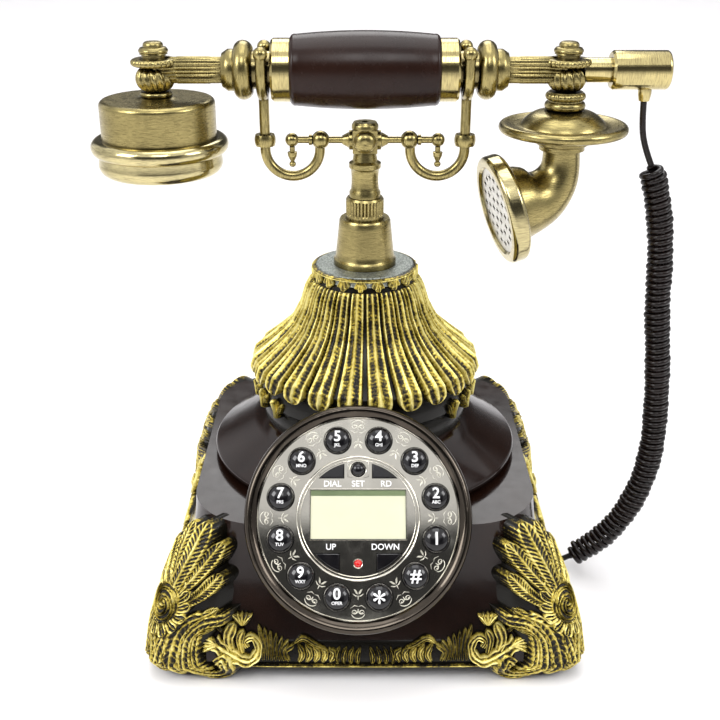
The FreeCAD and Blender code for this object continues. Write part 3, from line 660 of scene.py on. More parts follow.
# %% Smooth the plain parts
PLAIN_PARTS = {
    "base": {
        "body_shell": (espresso, "espresso"), "shoulder_disc": (espresso, "espresso"),
        "cone_collar": (brass_upright, "antique_brass"), "dial_bezel": (bezel_bronze, "dark_bronze"),
        "dial_face": (dial_mirror, "dial_chrome"), "base_plate": (black_resin, "base_black"),
        "rubber_feet": (foot_rubber, "rubber_black"), "base_screws": (plain_steel, "steel"),
        "phone_jacks": (black_resin, "socket_black"),
        "ringer_speaker": (black_resin, "socket_black"),
        "hook_switch": (black_resin, "socket_black"),
        "circuit_boards": (board_green, "board_green"),
        "indicator_lamp": (lamp_red, "lamp_red"), "plunger_spring": (plain_steel, "steel")},
    "cradle": {
        "stem_column": (brass_upright, "antique_brass"), "hub_block": (brass_upright, "antique_brass"),
        "crossbar_arms": (brass_along, "antique_brass"), "pendants": (brass_upright, "antique_brass"),
        "cradle_forks": (brass_along, "antique_brass")},
    "handset": {
        "handset_grip": (grip_brown, "grip_brown"), "grip_collars": (brass_polished_x, "antique_brass"),
        "neck_beads": (brass_along, "antique_brass"), "receiver_cap": (brass_upright, "antique_brass"),
        "earpiece": (brass_polished, "polished_brass"),
        "transmitter_elbow": (brass_upright, "antique_brass"),
        "mouthpiece_rim": (brass_polished, "polished_brass"),
        "cord_cap": (brass_polished_x, "polished_brass"),
        "voice_capsules": (black_resin, "socket_black")},
}
for body, parts in PLAIN_PARTS.items():
    for node, (material, slot) in parts.items():
        smoothed(node, material, body, slot)
print("plain parts:", sum(len(parts) for parts in PLAIN_PARTS.values()))

# %% [markdown]
# ## The dial
# The dial lies on a plane that leans back. Everything on it is modelled flat, at the dial's
# own centre, and then one rule carries it onto the plane. The dish between the bezel and
# the face is already in the model, and the raised rings, silver scrolls, labels and keys
# are added to it.

# %% Dial plane and rings
DIAL_CENTRE = STEM + Vector((-3.0, -79.0, 74.7)) * MM
DIAL_TILT = math.radians(90 - 34.0)
DIAL_PLACE = Matrix.Translation(DIAL_CENTRE) @ Matrix.Rotation(DIAL_TILT, 4, "X")


def on_dial(piece):
    """Carry a piece made flat at the origin onto the dial's plane."""
    select_only(piece)
    bpy.ops.object.transform_apply(location=True, rotation=True, scale=True)
    piece.matrix_world = DIAL_PLACE
    bpy.ops.object.transform_apply(location=True, rotation=True, scale=True)
    return piece


def flat_ring(name, radius, width, height, steps=96):
    """Low rounded ring on the face, modelled as a squeezed torus."""
    deselect()
    bpy.ops.mesh.primitive_torus_add(major_radius=radius * MM, minor_radius=width / 2 * MM,
                                     major_segments=steps, minor_segments=12)
    ring = bpy.context.active_object
    ring.name = name
    ring.scale = (1, 1, 2 * height / width)
    return on_dial(ring)


rings = [flat_ring("ring", 26.1, 1.0, 0.7), flat_ring("ring", 24.7, 0.45, 0.35),
         flat_ring("ring", 43.0, 0.8, 1.1), flat_ring("ring", 45.3, 0.7, 3.0)]
finish(joined(rings, "dial_rings"), "base", ring_chrome, "dial_chrome")
print("raised rings:", len(rings))


# %% Silver scrolls between the keys
def flat_strand(points, width, height, name="strand"):
    """Rounded strip that follows (x, y) points, in millimetres, and tapers at both ends."""
    line = bpy.data.curves.new(name, "CURVE")
    line.dimensions = "3D"
    spline = line.splines.new("POLY")
    spline.points.add(len(points) - 1)
    for n, (point, place) in enumerate(zip(spline.points, points)):
        share = n / (len(points) - 1)
        point.co = (place[0] * MM, place[1] * MM, 0, 1)
        point.radius = 0.35 + 0.65 * math.sin(math.pi * share) ** 0.5
    line.bevel_depth = width / 2 * MM
    line.bevel_resolution = 1
    line.use_fill_caps = True
    holder = bpy.data.objects.new(name, line)
    bpy.context.scene.collection.objects.link(holder)
    select_only(holder)
    bpy.ops.object.convert(target="MESH")
    strand = bpy.context.active_object
    strand.scale = (1, 1, 2 * height / width)
    bpy.ops.object.transform_apply(location=False, rotation=False, scale=True)
    return strand


def spiral(x, y, size, first, turn, hand=1, steps=16):
    """Points that wind inward round a centre, from an angle in degrees."""
    points = []
    for n in range(steps + 1):
        share = n / steps
        around = math.radians(first + hand * turn * share)
        reach = size * (1 - 0.86 * share)
        points.append((x + reach * math.cos(around), y + reach * math.sin(around)))
    return points


def motif():
    """Two facing spirals under a small crown, with a leaf pair on a stem, pointing inward."""
    strands = [flat_strand([(2.9 * math.cos(a) , 0.6 + 2.4 * math.sin(a))
                            for a in np.radians(range(15, 166, 15))], 0.42, 0.3)]
    for side in (-1, 1):
        hand = -side
        strands.append(flat_strand(
            [(side * (1.45 + 1.45 * math.cos(t)), -0.4 + 1.5 * math.sin(t))
             for t in np.radians(range(200, 20, -15))], 0.38, 0.28))
        strands.append(flat_strand(spiral(side * 1.45, 0.5, 1.15, 90 - side * 90, 400, hand),
                                   0.38, 0.28))
        strands.append(flat_strand([(side * 0.2, -2.0), (side * 1.5, -2.4), (side * 3.2, -1.2)],
                                   0.35, 0.25))
        strands.append(flat_strand([(side * 0.15, -7.0), (side * 0.9, -7.6), (side * 1.7, -9.0),
                                    (side * 1.1, -8.6), (side * 0.3, -7.4)], 0.55, 0.3))
        strands.append(flat_strand([(side * 0.2, -6.2), (side * 1.1, -6.3), (side * 2.3, -7.2)],
                                   0.5, 0.3))
    strands.append(flat_strand([(0, -4.6), (0, -5.6), (0, -6.6)], 0.4, 0.28))
    return joined(strands, "motif")


first_motif = motif()
motifs = []
for n in range(12):
    turn = math.radians(30 * n)
    twin = copy_of(first_motif, "motif")
    twin.rotation_euler = (0, 0, turn - math.pi / 2)
    twin.location = Vector((math.cos(turn), math.sin(turn), 0)) * 38.8 * MM
    motifs.append(on_dial(twin))
bpy.data.objects.remove(first_motif)
motif_count = len(motifs)
finish(joined(motifs, "dial_scrolls"), "base", motif_silver, "grille_silver")
print("scroll motifs:", motif_count)


# %% Lettering and numerals
def lettering(words, size, place, thick=0.12, grow=0.0):
    """Generic flat print as a mesh: words, cap height, (x, y) of its middle."""
    deselect()
    bpy.ops.object.text_add()
    text = bpy.context.active_object
    text.data.body = words
    text.data.size = size * MM / 0.70
    text.data.align_x = "CENTER"
    text.data.align_y = "CENTER"
    text.data.extrude = thick / 2 * MM
    text.data.offset = grow * MM
    bpy.ops.object.convert(target="MESH")
    text.location = (place[0] * MM, place[1] * MM, 0)
    bpy.ops.object.transform_apply(location=True, rotation=True, scale=True)
    return bpy.context.active_object


labels = [lettering(words, 2.5, place, 0.3, 0.05) for words, place in (
    ("DIAL", (-11.0, 14.5)), ("SET", (0, 14.5)), ("RD", (12.0, 14.5)), ("UP", (-11.6, -12.2)),
    ("DOWN", (11.6, -12.2)))]
finish(on_dial(joined(labels, "dial_labels")), "base", print_white, "grille_silver", angle=None)

# %% [markdown]
# ## Keys
# A key is a glossy dome on a short skirt. Its number is cut from flat text whose mesh is
# subdivided, and each vertex is lifted to the dome's height at its own place, so that the
# print wraps the dome. The print and its key are one body and move together.

# %% Key domes
KEY_R = 5.8
KEY_RING_R = 34.3                # the ring that the keys' middles lie on
KEY_DOME = [(0, -4.2), (2.3, -4.2), (2.3, -3.2), (6.7, -3.2), (6.7, -2.1), (5.8, -2.1),
            (5.8, 0.6)]
DOME_FOOT = 0.6                  # where the skirt ends and the dome begins
DOME_RISE = 3.7                  # less than its radius: the dome is flatter than a ball


def dome_height(reach):
    """Height of a dome above the face at a distance from its middle, in millimetres."""
    return DOME_FOOT + DOME_RISE * np.sqrt(np.clip(1 - (reach / KEY_R) ** 2, 0, 1))


def ball_outline(foot, radius, base, rise, steps=9):
    """Outline of a skirt, then of a dome over it."""
    turns = np.radians(np.linspace(0, 90, steps + 1))[1:]
    return foot + [(radius * math.cos(a) if a < 1.57 else 0, base + rise * math.sin(a))
                   for a in turns]


def wrapped(text):
    """Lay flat print over the dome, just proud of it."""
    select_only(text)
    bpy.ops.object.mode_set(mode="EDIT")
    bpy.ops.mesh.select_all(action="SELECT")
    bpy.ops.mesh.quads_convert_to_tris()
    bpy.ops.mesh.subdivide(number_cuts=2)
    bpy.ops.object.mode_set(mode="OBJECT")

    def rule(places):
        reach = np.hypot(places[:, 0], places[:, 1]) / MM
        places[:, 2] += (dome_height(reach) + 0.02) * MM
        return places

    reshape(text, rule)
    return text


RING_KEYS = {
    "star": ("*", ""), "hash": ("#", ""), "1": ("1", ""), "2": ("2", "ABC"), "3": ("3", "DEF"),
    "4": ("4", "GHI"), "5": ("5", "JKL"), "6": ("6", "MNO"), "7": ("7", "PRS"),
    "8": ("8", "TUV"), "9": ("9", "WXY"), "0": ("0", "OPER")}
dome = spun("dome", ball_outline(KEY_DOME, KEY_R, DOME_FOOT, DOME_RISE), 48)
dome.data.transform(Matrix.Translation(-STEM))
for n, (key, (numeral, letters)) in enumerate(RING_KEYS.items()):
    turn = math.radians(-75 + 30 * n)
    spot = Matrix.Translation(Vector((math.cos(turn), math.sin(turn), 0)) * KEY_RING_R * MM)
    tall = 4.5 if letters else 5.4
    raised = 1.35 if letters else 0.0
    if numeral == "*":
        tall, raised = 8.5, -2.2
    prints = [wrapped(lettering(numeral, tall, (0, raised), 0.12, 0.11))]
    if letters:
        prints.append(wrapped(lettering(letters, 1.3, (0, -2.3), 0.12, 0.05)))
    print_piece = joined(prints, f"key_{key}_print")
    cap = copy_of(dome, f"key_{key}_cap")
    for piece in (print_piece, cap):
        piece.data.transform(spot)
        on_dial(piece)
    finish(cap, f"key_{key}_body", key_black, "key_black", (f"key_{key}",), 50)
    finish(print_piece, f"key_{key}_body", print_white, "key_black", angle=None)
bpy.data.objects.remove(dome)

set_outline = ball_outline(
    [(0, -4.2), (1.2, -4.2), (1.2, -3.2), (3.9, -3.2), (3.9, -2.1), (3.0, -2.1), (3.0, 0.5)],
    3.0, 0.5, 2.4)
set_cap = spun("key_set_cap", set_outline, 40)
set_cap.data.transform(Matrix.Translation(Vector((0, 20.7 * MM, 0)) - STEM))
finish(on_dial(set_cap), "key_set_body", key_black, "key_black", ("key_set",), 50)
for key in ("key_dial", "key_redial", "key_up", "key_down"):
    cap = smoothed(key, key_black, key + "_body", "key_black", 30)
    select_only(cap)
    edge = cap.modifiers.new("edge", "BEVEL")
    edge.width = 0.35 * MM
    edge.segments = 3
    edge.limit_method = "ANGLE"
    bpy.ops.object.modifier_apply(modifier=edge.name)
print("ring keys:", len(RING_KEYS), "and five small keys")

# %% Display and lamp ring
def flat_block(name, size, place):
    """A block laid on the dial, with its size and its middle in millimetres."""
    deselect()
    bpy.ops.mesh.primitive_cube_add(size=1)
    block = bpy.context.active_object
    block.name = name
    block.scale = Vector(size) * MM
    block.location = Vector(place) * MM
    return on_dial(block)


screen = flat_block("lcd_screen", (40.6, 20.6, 1.4), (0, 1.5, -1.25))
finish(screen, "base", lcd_cream, "lcd_green", ("lcd_window", "lcd_panel"))
# A thin dark sheet along the top of the screen is painted shadow, where the frame shades the recessed
# display
painted_shadow_strip = flat_block("lcd_shade_strip", (40.4, 2.3, 0.2), (0, 10.6, -0.5))
finish(painted_shadow_strip, "base", lcd_shade, "lcd_green")
lamp_ring = spun("lamp_ring", [(1.65, 0.0), (2.15, 0.0), (2.15, 0.35), (1.9, 0.6), (1.65, 0.5),
                               (1.65, 0.0)], 32)
lamp_ring.data.transform(Matrix.Translation(Vector((0, -19.1 * MM, 0)) - STEM))
bracket = [flat_strand([(side * 2.3, 24.6), (side * 4.4, 24.0), (side * 4.4, 17.6),
                        (side * 2.3, 17.0)], 0.45, 0.3) for side in (-1, 1)]
bracket.append(flat_strand([(3.5 * math.cos(a), 20.7 + 3.5 * math.sin(a))
                            for a in np.radians(range(0, 361, 12))], 0.5, 0.35))
screen_edge = [(x * 20.8, 1.5 + y * 10.8) for x, y in ((-1, -1), (1, -1), (1, 1), (-1, 1), (-1, -1))]
bracket.append(flat_strand(screen_edge, 0.45, 0.3))
for piece in bracket + [lamp_ring]:
    on_dial(piece)
finish(joined(bracket + [lamp_ring], "dial_brackets"), "base", ring_chrome, "dial_chrome")
print("dial done")

# %% [markdown]
# ## Carved relief
# The bell and the body wear cast leaves, feathers and scrolls. Operators cannot shape such
# relief well, so it is worked out as a surface instead. One leaf is a strip along a spine:
# across it, a formula gives the height of its lobes, rib and rim, and its barbs are a wave
# that runs along it. The same formula writes how much gold each vertex carries, and a painted
# highlight on the rib and the rim. Strips are planned flat, and a rule then wraps them over
# the bell or round a corner of the body.

# %% Leaf strips
def smooth_line(points, count):
    """Evenly spaced places on a smooth line through a few points."""
    points = np.array(points, float)
    knots = np.concatenate([[2 * points[0] - points[1]], points, [2 * points[-1] - points[-2]]])
    fine = []
    for p0, p1, p2, p3 in zip(knots, knots[1:], knots[2:], knots[3:]):
        for t in np.linspace(0, 1, 12, endpoint=False):
            fine.append(0.5 * (2 * p1 + (p2 - p0) * t + (2 * p0 - 5 * p1 + 4 * p2 - p3) * t * t
                               + (3 * p1 - p0 - 3 * p2 + p3) * t ** 3))
    fine = np.array(fine + [points[-1]])
    walked = np.concatenate([[0], np.cumsum(np.linalg.norm(np.diff(fine, axis=0), axis=1))])
    even = np.linspace(0, walked[-1], count)
    return np.column_stack([np.interp(even, walked, fine[:, i]) for i in range(2)])


def strip(spine, width, height, shape="leaf", rib=0.25, rim=0.2, barbs=0, lean=1.2, lobes=0,
          base=0.0, lift=0.0, count=26, across=13, depth=2.2, gold=1.0, flute=0, rough=1.0):
    """One relief strip, flat: places (u, v, height) in millimetres, faces, gold with painted highlight.
    """
    line = smooth_line(spine, count)
    heading = np.gradient(line, axis=0)
    heading /= np.linalg.norm(heading, axis=1)[:, None]
    side = np.column_stack([-heading[:, 1], heading[:, 0]])
    s = np.linspace(0, 1, count)
    outline = {
        "leaf": np.sin(math.pi * np.clip(s * 0.93 + 0.05, 0, 1)) ** 0.7,
        "feather": (0.45 + 0.55 * s) * np.sqrt(np.clip(1 - ((s - 0.62) / 0.38).clip(0) ** 2, 0, 1)),
        "band": np.ones(count),
        "flute": np.sqrt(np.clip(1 - ((s - 0.92) / 0.08).clip(0) ** 2, 0, 1)),
        "scroll": 1 - 0.72 * s,
    }[shape]
    if lobes:
        outline = outline * (1 - 0.24 * np.abs(np.sin(math.pi * lobes * s)) ** 3)
    t = np.linspace(-1, 1, across)
    half = width / 2 * outline
    u = line[:, 0:1] + side[:, 0:1] * half[:, None] * t
    v = line[:, 1:2] + side[:, 1:2] * half[:, None] * t
    round_up = np.sqrt(1 - 0.92 * t ** 2)[None, :]
    ridge = np.exp(-(t / 0.16) ** 2)[None, :]
    edge = np.exp(-((np.abs(t) - 0.82) / 0.14) ** 2)[None, :]
    wave = np.zeros((count, across))
    if barbs:
        wave = np.sin(2 * math.pi * (barbs * s[:, None] - lean * np.abs(t)[None, :]))
        wave = rough * wave * (1 - ridge) * (1 - 0.6 * edge)
    if flute:
        wave = np.cos(2 * math.pi * flute * t)[None, :] * np.ones((count, 1))
    ends = np.clip(np.minimum(s, 1 - s) * 9, 0, 1)[:, None] ** 0.5
    high = height * (0.55 * round_up + rib * ridge + rim * edge + 0.13 * wave) * (0.35 + 0.65 * ends)
    high = high + base + lift * (s[:, None] ** 2.2)
    # Gold on each vertex; the rib and rim terms add a painted highlight on top of the gold
    gold_and_painted_highlight = 0.24 + 0.12 * round_up + 0.46 * ridge * (rib > 0) + 0.44 * edge * (rim > 0) + 0.27 * wave
    gold_and_painted_highlight = gold_and_painted_highlight * gold + np.zeros((count, across))
    high[:, 0] = high[:, -1] = base - 0.3
    top = np.stack([u, v, high], axis=2).reshape(-1, 3)
    bottom = top.copy()
    bottom[:, 2] = base - depth
    places = np.concatenate([top, bottom])
    grid = np.arange(count * across).reshape(count, across)
    a, b, c, d = grid[:-1, :-1], grid[1:, :-1], grid[1:, 1:], grid[:-1, 1:]
    faces = np.stack([a, b, c, d], axis=2).reshape(-1, 4)
    under = faces[:, ::-1] + count * across
    border = np.concatenate([grid[0, :], grid[1:, -1], grid[-1, -2::-1], grid[-2:0:-1, 0]])
    after = np.roll(border, -1)
    walls = np.stack([border, after, after + count * across, border + count * across], axis=1)
    gold_and_painted_highlight = np.clip(gold_and_painted_highlight, 0, 1).ravel()
    return places, np.concatenate([faces, under, walls]), np.concatenate([gold_and_painted_highlight, 0 * gold_and_painted_highlight])


def flipped(strips):
    """The strips' mirror images about the line u = 0."""
    return [(places * np.array([-1, 1, 1]), faces[:, ::-1], gold_and_painted_highlight)
            for places, faces, gold_and_painted_highlight in strips]


def mirrored(strips):
    """Strips and their mirror images."""
    return list(strips) + flipped(strips)


def carved(name, groups):
    """One object from strips; groups pair a wrapping rule with the strips it wraps."""
    all_places, all_faces, all_gold_and_painted_highlight, count = [], [], [], 0
    for rule, strips in groups:
        for places, faces, gold_and_painted_highlight in strips:
            all_places.append(rule(places[:, 0], places[:, 1], places[:, 2]))
            all_faces.append(faces + count)
            all_gold_and_painted_highlight.append(gold_and_painted_highlight)
            count += len(places)
    mesh = bpy.data.meshes.new(name)
    places = np.concatenate(all_places) * MM + np.array(STEM)
    mesh.from_pydata(places.tolist(), [], np.concatenate(all_faces).tolist())
    # The relief attribute holds the gold and its painted highlight on ribs and rims
    relief = mesh.attributes.new("relief", "FLOAT", "POINT")
    relief.data.foreach_set("value", np.concatenate(all_gold_and_painted_highlight).astype(np.float32))
    piece = bpy.data.objects.new(name, mesh)
    bpy.context.scene.collection.objects.link(piece)
    print(name, "triangles:", 2 * len(mesh.polygons))
    return piece


# %% Wrapping rules
SHELL_Z = [10.0, 24.0, 40.0, 56.0, 70.0]
SHELL_HALF = [93.0, 88.0, 81.5, 77.5, 76.5]
SHELL_ROUND = [14.0, 16.0, 20.0, 26.0, 31.0]
SHELL_PROUD = 5.7                # the furthest that the side scrolls stand out
CORNER_Z = [2.2, 10.0, 24.0, 40.0, 56.0, 70.5]
CORNER_HALF = [95.0, 99.0, 97.0, 92.5, 86.5, 81.0]
CORNER_ROUND = [14.0, 14.0, 15.5, 17.0, 20.0, 26.0]
CORNER_SINK = 5.0                # the ornaments start this far inside their outer form
CORNER_DEEPEST = -9.0            # where the corner's rounding stops getting tighter


def body_rule(quarter, middle):
    """Wrap flat places round a corner of the body, or along a side if middle is set."""
    def rule(s, z, off):
        if middle:
            off = np.minimum(off, SHELL_PROUD)
            half = np.interp(z, SHELL_Z, SHELL_HALF) + off
            corner = np.interp(z, SHELL_Z, SHELL_ROUND) + off
        else:
            off = np.minimum(off, CORNER_SINK) - CORNER_SINK
            half = np.interp(z, CORNER_Z, CORNER_HALF) + off
            corner = np.interp(z, CORNER_Z, CORNER_ROUND) + np.maximum(off, CORNER_DEEPEST)
        inner = half - corner
        if middle:
            x, y = s, -half
        else:
            arc_half = corner * math.pi / 4
            angle = math.radians(225) + np.clip(s, -arc_half, arc_half) / corner
            x = -inner + corner * np.cos(angle) + np.clip(s - arc_half, 0, None)
            y = -inner + corner * np.sin(angle) + np.clip(-s - arc_half, 0, None)
        turn = quarter * math.pi / 2
        return np.column_stack([x * math.cos(turn) - y * math.sin(turn),
                                x * math.sin(turn) + y * math.cos(turn), z])
    return rule


BELL_LINE = np.array([(22.5, 158.0), (24.0, 153.0), (27.2, 142.0), (31.2, 134.0), (35.6, 128.6),
                      (41.0, 123.5), (46.0, 119.0), (49.3, 116.2), (50.6, 113.0), (50.0, 109.0),
                      (49.2, 104.0), (48.6, 98.0), (48.6, 90.0)])
BELL_R = 50.0                    # at the rim, where the leaves' widths are measured
BELL_WALK = np.concatenate([[0], np.cumsum(np.linalg.norm(np.diff(BELL_LINE, axis=0), axis=1))])


def bell_rule(turn):
    """Wrap flat places down the bell; u is a share of a turn in radians, v the way down."""
    def rule(u, v, off):
        r = np.interp(v, BELL_WALK, BELL_LINE[:, 0])
        z = np.interp(v, BELL_WALK, BELL_LINE[:, 1])
        dr, dz = (np.interp(v + 2, BELL_WALK, BELL_LINE[:, i])
                  - np.interp(v - 2, BELL_WALK, BELL_LINE[:, i]) for i in range(2))
        run = np.hypot(dr, dz)
        r, z = r + off * -dz / run, z + off * dr / run
        angle = turn - u / BELL_R         # clockwise, so that the faces stay outward
        return np.column_stack([r * np.cos(angle), r * np.sin(angle), z])
    return rule


# %% [markdown]
# ## The bell's leaves
# Twenty-four flutes run down the bell. Each is a shallow trough with a rim on both sides and
# a ridge down its middle, both gold with a painted highlight, and a rounded tip that stands out
# from the bell. One flute is planned flat and wrapped at twenty-four turns. Small three-leaved
# tips hang below the rim, except behind the dial's housing.

# %% Bell
LEAVES = 24
leaf_width = 2 * math.pi * BELL_R / LEAVES
bell_leaf = [strip([(0, 2.5), (0, 28), (0, 56.8)], leaf_width * 0.86, 2.5, "flute", 0.6, 0.55,
                   barbs=31, lean=0.8, count=96, across=17, base=0.4, lift=1.4, rough=0.28,
                   gold=1.2)]
palmette = mirrored([strip([(0.6, 67.5), (2.2, 64.6), (3.6, 61.5)], 2.8, 2.2, "leaf", 0.4, 0.3,
                           count=9, across=7, base=0.8, gold=1.2)])
palmette.append(strip([(0, 70.0), (0, 65.5), (0, 60.0)], 3.2, 2.6, "leaf", 0.5, 0.3, count=10,
                      across=7, base=1.0, gold=1.2))
turns = [2 * math.pi * (n + 0.5) / LEAVES for n in range(LEAVES)]
front = math.radians(270)


def clear_of_dial(turn, reach):
    """False where the dial's housing stands in front of the bell's foot."""
    return abs((turn - front + math.pi) % (2 * math.pi) - math.pi) > reach


bell = carved("bell_leaves", [(bell_rule(t), bell_leaf) for t in turns])
finish(bell, "base", gilt_relief, "gilt_relief", angle=60)
foot = carved("bell_palmettes", [(bell_rule(t), palmette) for t in turns
                                 if clear_of_dial(t, math.radians(46))])
finish(foot, "base", gilt_relief, "gilt_relief", angle=60)
smoothed("bell_skirt", gilt_dark, "base", "gilt_relief")

# %% [markdown]
# ## The corner ornaments
# A fan of feathers rises from a rose, a frill of short leaves rings the rose, and long leaves
# sweep down from it to the foot and end in a scroll. Broad feathers overlap, so each one has
# its own height of foot. The fan leans to one side, so every second corner is its mirror image.

# %% Corner ornaments
ground = [strip([(0, 2.6), (0, 30), (0, 62)], 47, 1.6, "leaf", 0, 0, count=24, across=25,
                base=0.2, depth=12, gold=0.15)]
FEATHERS = (                     # spine, width and height of the foot, from the lowest up
    ([(-12, 36), (-18, 37), (-23.5, 40.5)], 8.0, 1.0), ([(-8, 41), (-15, 45), (-20, 50)], 9.5, 1.3),
    ([(14, 31), (19, 32.5), (23, 35)], 6.5, 1.0), ([(9, 38), (15.5, 43), (20, 50)], 10.5, 1.4),
    ([(-3, 44), (-8, 51), (-12.5, 59)], 10.5, 1.6), ([(6, 43), (11.5, 53), (15.2, 63)], 11.5, 1.8),
    ([(1, 46), (-1.5, 56), (-3.0, 68)], 9.5, 1.9), ([(3, 44), (5, 58), (5.6, 70.4)], 13.5, 2.8))
fan = [strip(spine, wide, 2.3, "feather", 0.45, 0.36, barbs=15, lean=1.6, count=64, across=23,
             base=base, lift=-1.0, depth=9, rough=1.3) for spine, wide, base in FEATHERS]
ROSE = (-0.5, 36.5)


def ring_point(reach, degrees):
    """A place round the middle of the rose."""
    turn = math.radians(degrees)
    return ROSE[0] + reach * math.cos(turn), ROSE[1] + reach * math.sin(turn)


rose = []
for reach, petals, base in ((7.6, 4, 1.8), (5.2, 3, 2.2), (3.0, 3, 2.5)):
    for n in range(petals):
        start = 360 * n / petals + 25 * reach
        bend = [ring_point(reach + 0.5 - 0.008 * a, start + a) for a in range(0, 151, 25)]
        rose.append(strip(bend, 2.3, 2.2, "leaf", 0.0, 0.6, count=26, across=9, base=base, depth=6))
rose.append(strip([ring_point(1.3, 180), ROSE, ring_point(1.3, 0)], 2.2, 2.0, "leaf", 0.6, 0.2,
                  count=10, across=9, base=2.4, depth=6))
frill = [strip([ring_point(7.6, a), ring_point(10.4, a + 3), ring_point(13.2, a + 9)], 6.2, 2.0,
               "feather", 0.0, 0.5, count=16, across=15, base=1.9, lift=0.7, flute=1.5, gold=1.15,
               depth=8) for a in range(-125, 126, 25)]
lower = [strip(spine, wide, 2.3, form, 0.4, 0.4, barbs=barbs, lean=1.4, lobes=lobes, count=70,
               across=17, base=base, depth=9, rough=0.75, gold=1.0)
         for spine, wide, form, barbs, lobes, base in (
    ([(5, 26), (2.5, 18), (1.0, 9), (2.5, 3)], 7.0, "leaf", 9, 5, 1.2),
    ([(21, 34), (13, 30), (10, 23), (9, 13), (10.5, 3)], 9.5, "leaf", 13, 7, 1.6),
    ([(28, 31.5), (20, 30), (15.2, 24), (14.8, 15.5), (17, 7.5), (23, 3.6), (29.5, 4.2),
      (33.8, 8.8), (31.6, 13), (28.6, 10.8)], 5.4, "band", 24, 0, 1.8),
    ([(24, 27), (18.6, 24.5), (18.2, 16), (21, 9), (26, 7.2)], 3.6, "leaf", 10, 0, 1.2))]
corner_strips = ground + fan + mirrored(lower) + frill + rose
for q in range(4):
    corner = carved(f"corner_leaves_{q}", [
        (body_rule(q, False), flipped(corner_strips) if q % 2 else corner_strips)])
    finish(corner, "base", gilt_relief, "gilt_relief", ("corner_ornaments",), angle=60)

# %% [markdown]
# ## The scrolls along the sides
# Between two corners runs a low band of scrolls, shell ribs and small leaves, the same on each
# half of a side. A thin gold line closes it below. At the back, the strips that would cover
# the line socket are left out.

# %% Scrolls along the sides
apron_ground = [strip([(-54, 14.5), (0, 14.0), (54, 14.5)], 12, 1.2, "band", 0, 0, count=60,
                      across=9, base=0.1, gold=0.2)]
scrolls = [
    strip([(66, 19.5), (61.5, 16.5), (56.5, 13.6), (51.5, 11.8), (47.6, 14), (46.4, 18.4),
           (49.2, 22), (52.4, 20.4), (51.2, 17.4)], 7.6, 2.6, "scroll", 0.2, 0.4, count=80, across=15,
          lobes=7, base=2.0, gold=1.35),
    strip([(58, 16), (59.5, 22), (57, 28)], 6.6, 2.5, "feather", 0.3, 0.4, count=20, across=13,
          base=2.2, lift=0.8, gold=1.35),
    strip([(53.5, 15), (54.5, 21), (53, 25)], 4.6, 2.2, "feather", 0.3, 0.4, count=16, across=11,
          base=2.2, lift=0.8, gold=1.35)]
scrolls += [strip([(64, 18.5), (67.5, 18.5 + n), (71, 17.8 + 2.1 * n)], 2.6, 2.2, "leaf", 0.3, 0.3,
                  count=12, across=7, base=1.8, gold=1.3) for n in range(-1, 3)]
scrolls += [strip([(53.5, 26.5), (53.5 + 1.3 * n, 29.5), (53.5 + 2.2 * n, 31.8 - 0.4 * abs(n))],
                  2.8, 2.0, "leaf", 0.3, 0.3, count=12, across=7, base=1.8, gold=1.3)
            for n in range(-2, 3)]
scrolls.append(strip([(62, 24), (64.5, 26.5), (62, 28.8), (60, 27)], 2.2, 2.0, "scroll", 0, 0.4,
                     count=20, across=7, base=1.6, gold=1.2))
scrolls += [strip([(44.5 - 1.9 * n, 11.5), (44.2 - 1.6 * n, 18 - 0.4 * n),
                   (46.5 - 2.6 * n, 26.5 - 1.3 * n)], 2.2, 2.2, "feather", 0.0, 0.5, count=24,
                  across=9, base=1.4, lift=0.6, gold=1.2) for n in range(7)]
scrolls += [strip([(29 - 3.4 * n, 11), (27.4 - 3.4 * n, 14.5), (29.4 - 3.4 * n, 19 - 0.6 * n)], 3.4,
                  2.0, "leaf", 0.35, 0.35, count=14, across=9, lobes=3, base=1.4, gold=1.2)
            for n in range(5)]
scrolls.append(strip([(31, 19), (27, 21), (22, 18.5), (17.5, 17)], 2.4, 1.8, "leaf", 0.3, 0.4,
                     count=24, across=9, base=1.6, gold=1.1))
scrolls += [strip([(12 - 3.0 * n, 10), (12.3 - 3.0 * n, 13.5), (11.1 - 3.0 * n, 17)], 2.8, 1.8,
                  "leaf", 0.35, 0.35, count=12, across=9, base=1.2) for n in range(4)]
edging = [strip([(-53, 8.8), (0, 8.6), (53, 8.8)], 1.4, 1.2, "band", 0.3, 0.3, count=60, across=7,
                base=1.2, gold=0.95)]
apron_strips = apron_ground + mirrored(scrolls) + edging


def without_socket(strips):
    """Leave the strips that would close the line socket at the back."""
    kept = []
    for places, faces, gold_and_painted_highlight in strips:
        middle = places[:, :2].mean(axis=0)
        if abs(middle[0]) > 12.5 and places[:, 0].max() - places[:, 0].min() < 60:
            kept.append((places, faces, gold_and_painted_highlight))
    return kept


aprons = carved("apron_scrolls", [
    (body_rule(q, True), without_socket(apron_strips) if q == 2 else apron_strips)
    for q in range(4)])
finish(aprons, "base", gilt_relief, "gilt_relief", ("apron_ornaments",), angle=60)

# %% [markdown]
# ## Turned and fluted brass
# The tubes are reeded, the knobs are twisted, the flanges and the sleeve are knurled. Each
# is spun as a plain lathe part with many steps. A rule then moves its vertices in or out
# by a wave round the axis, which leaves the ends of the part as they were.

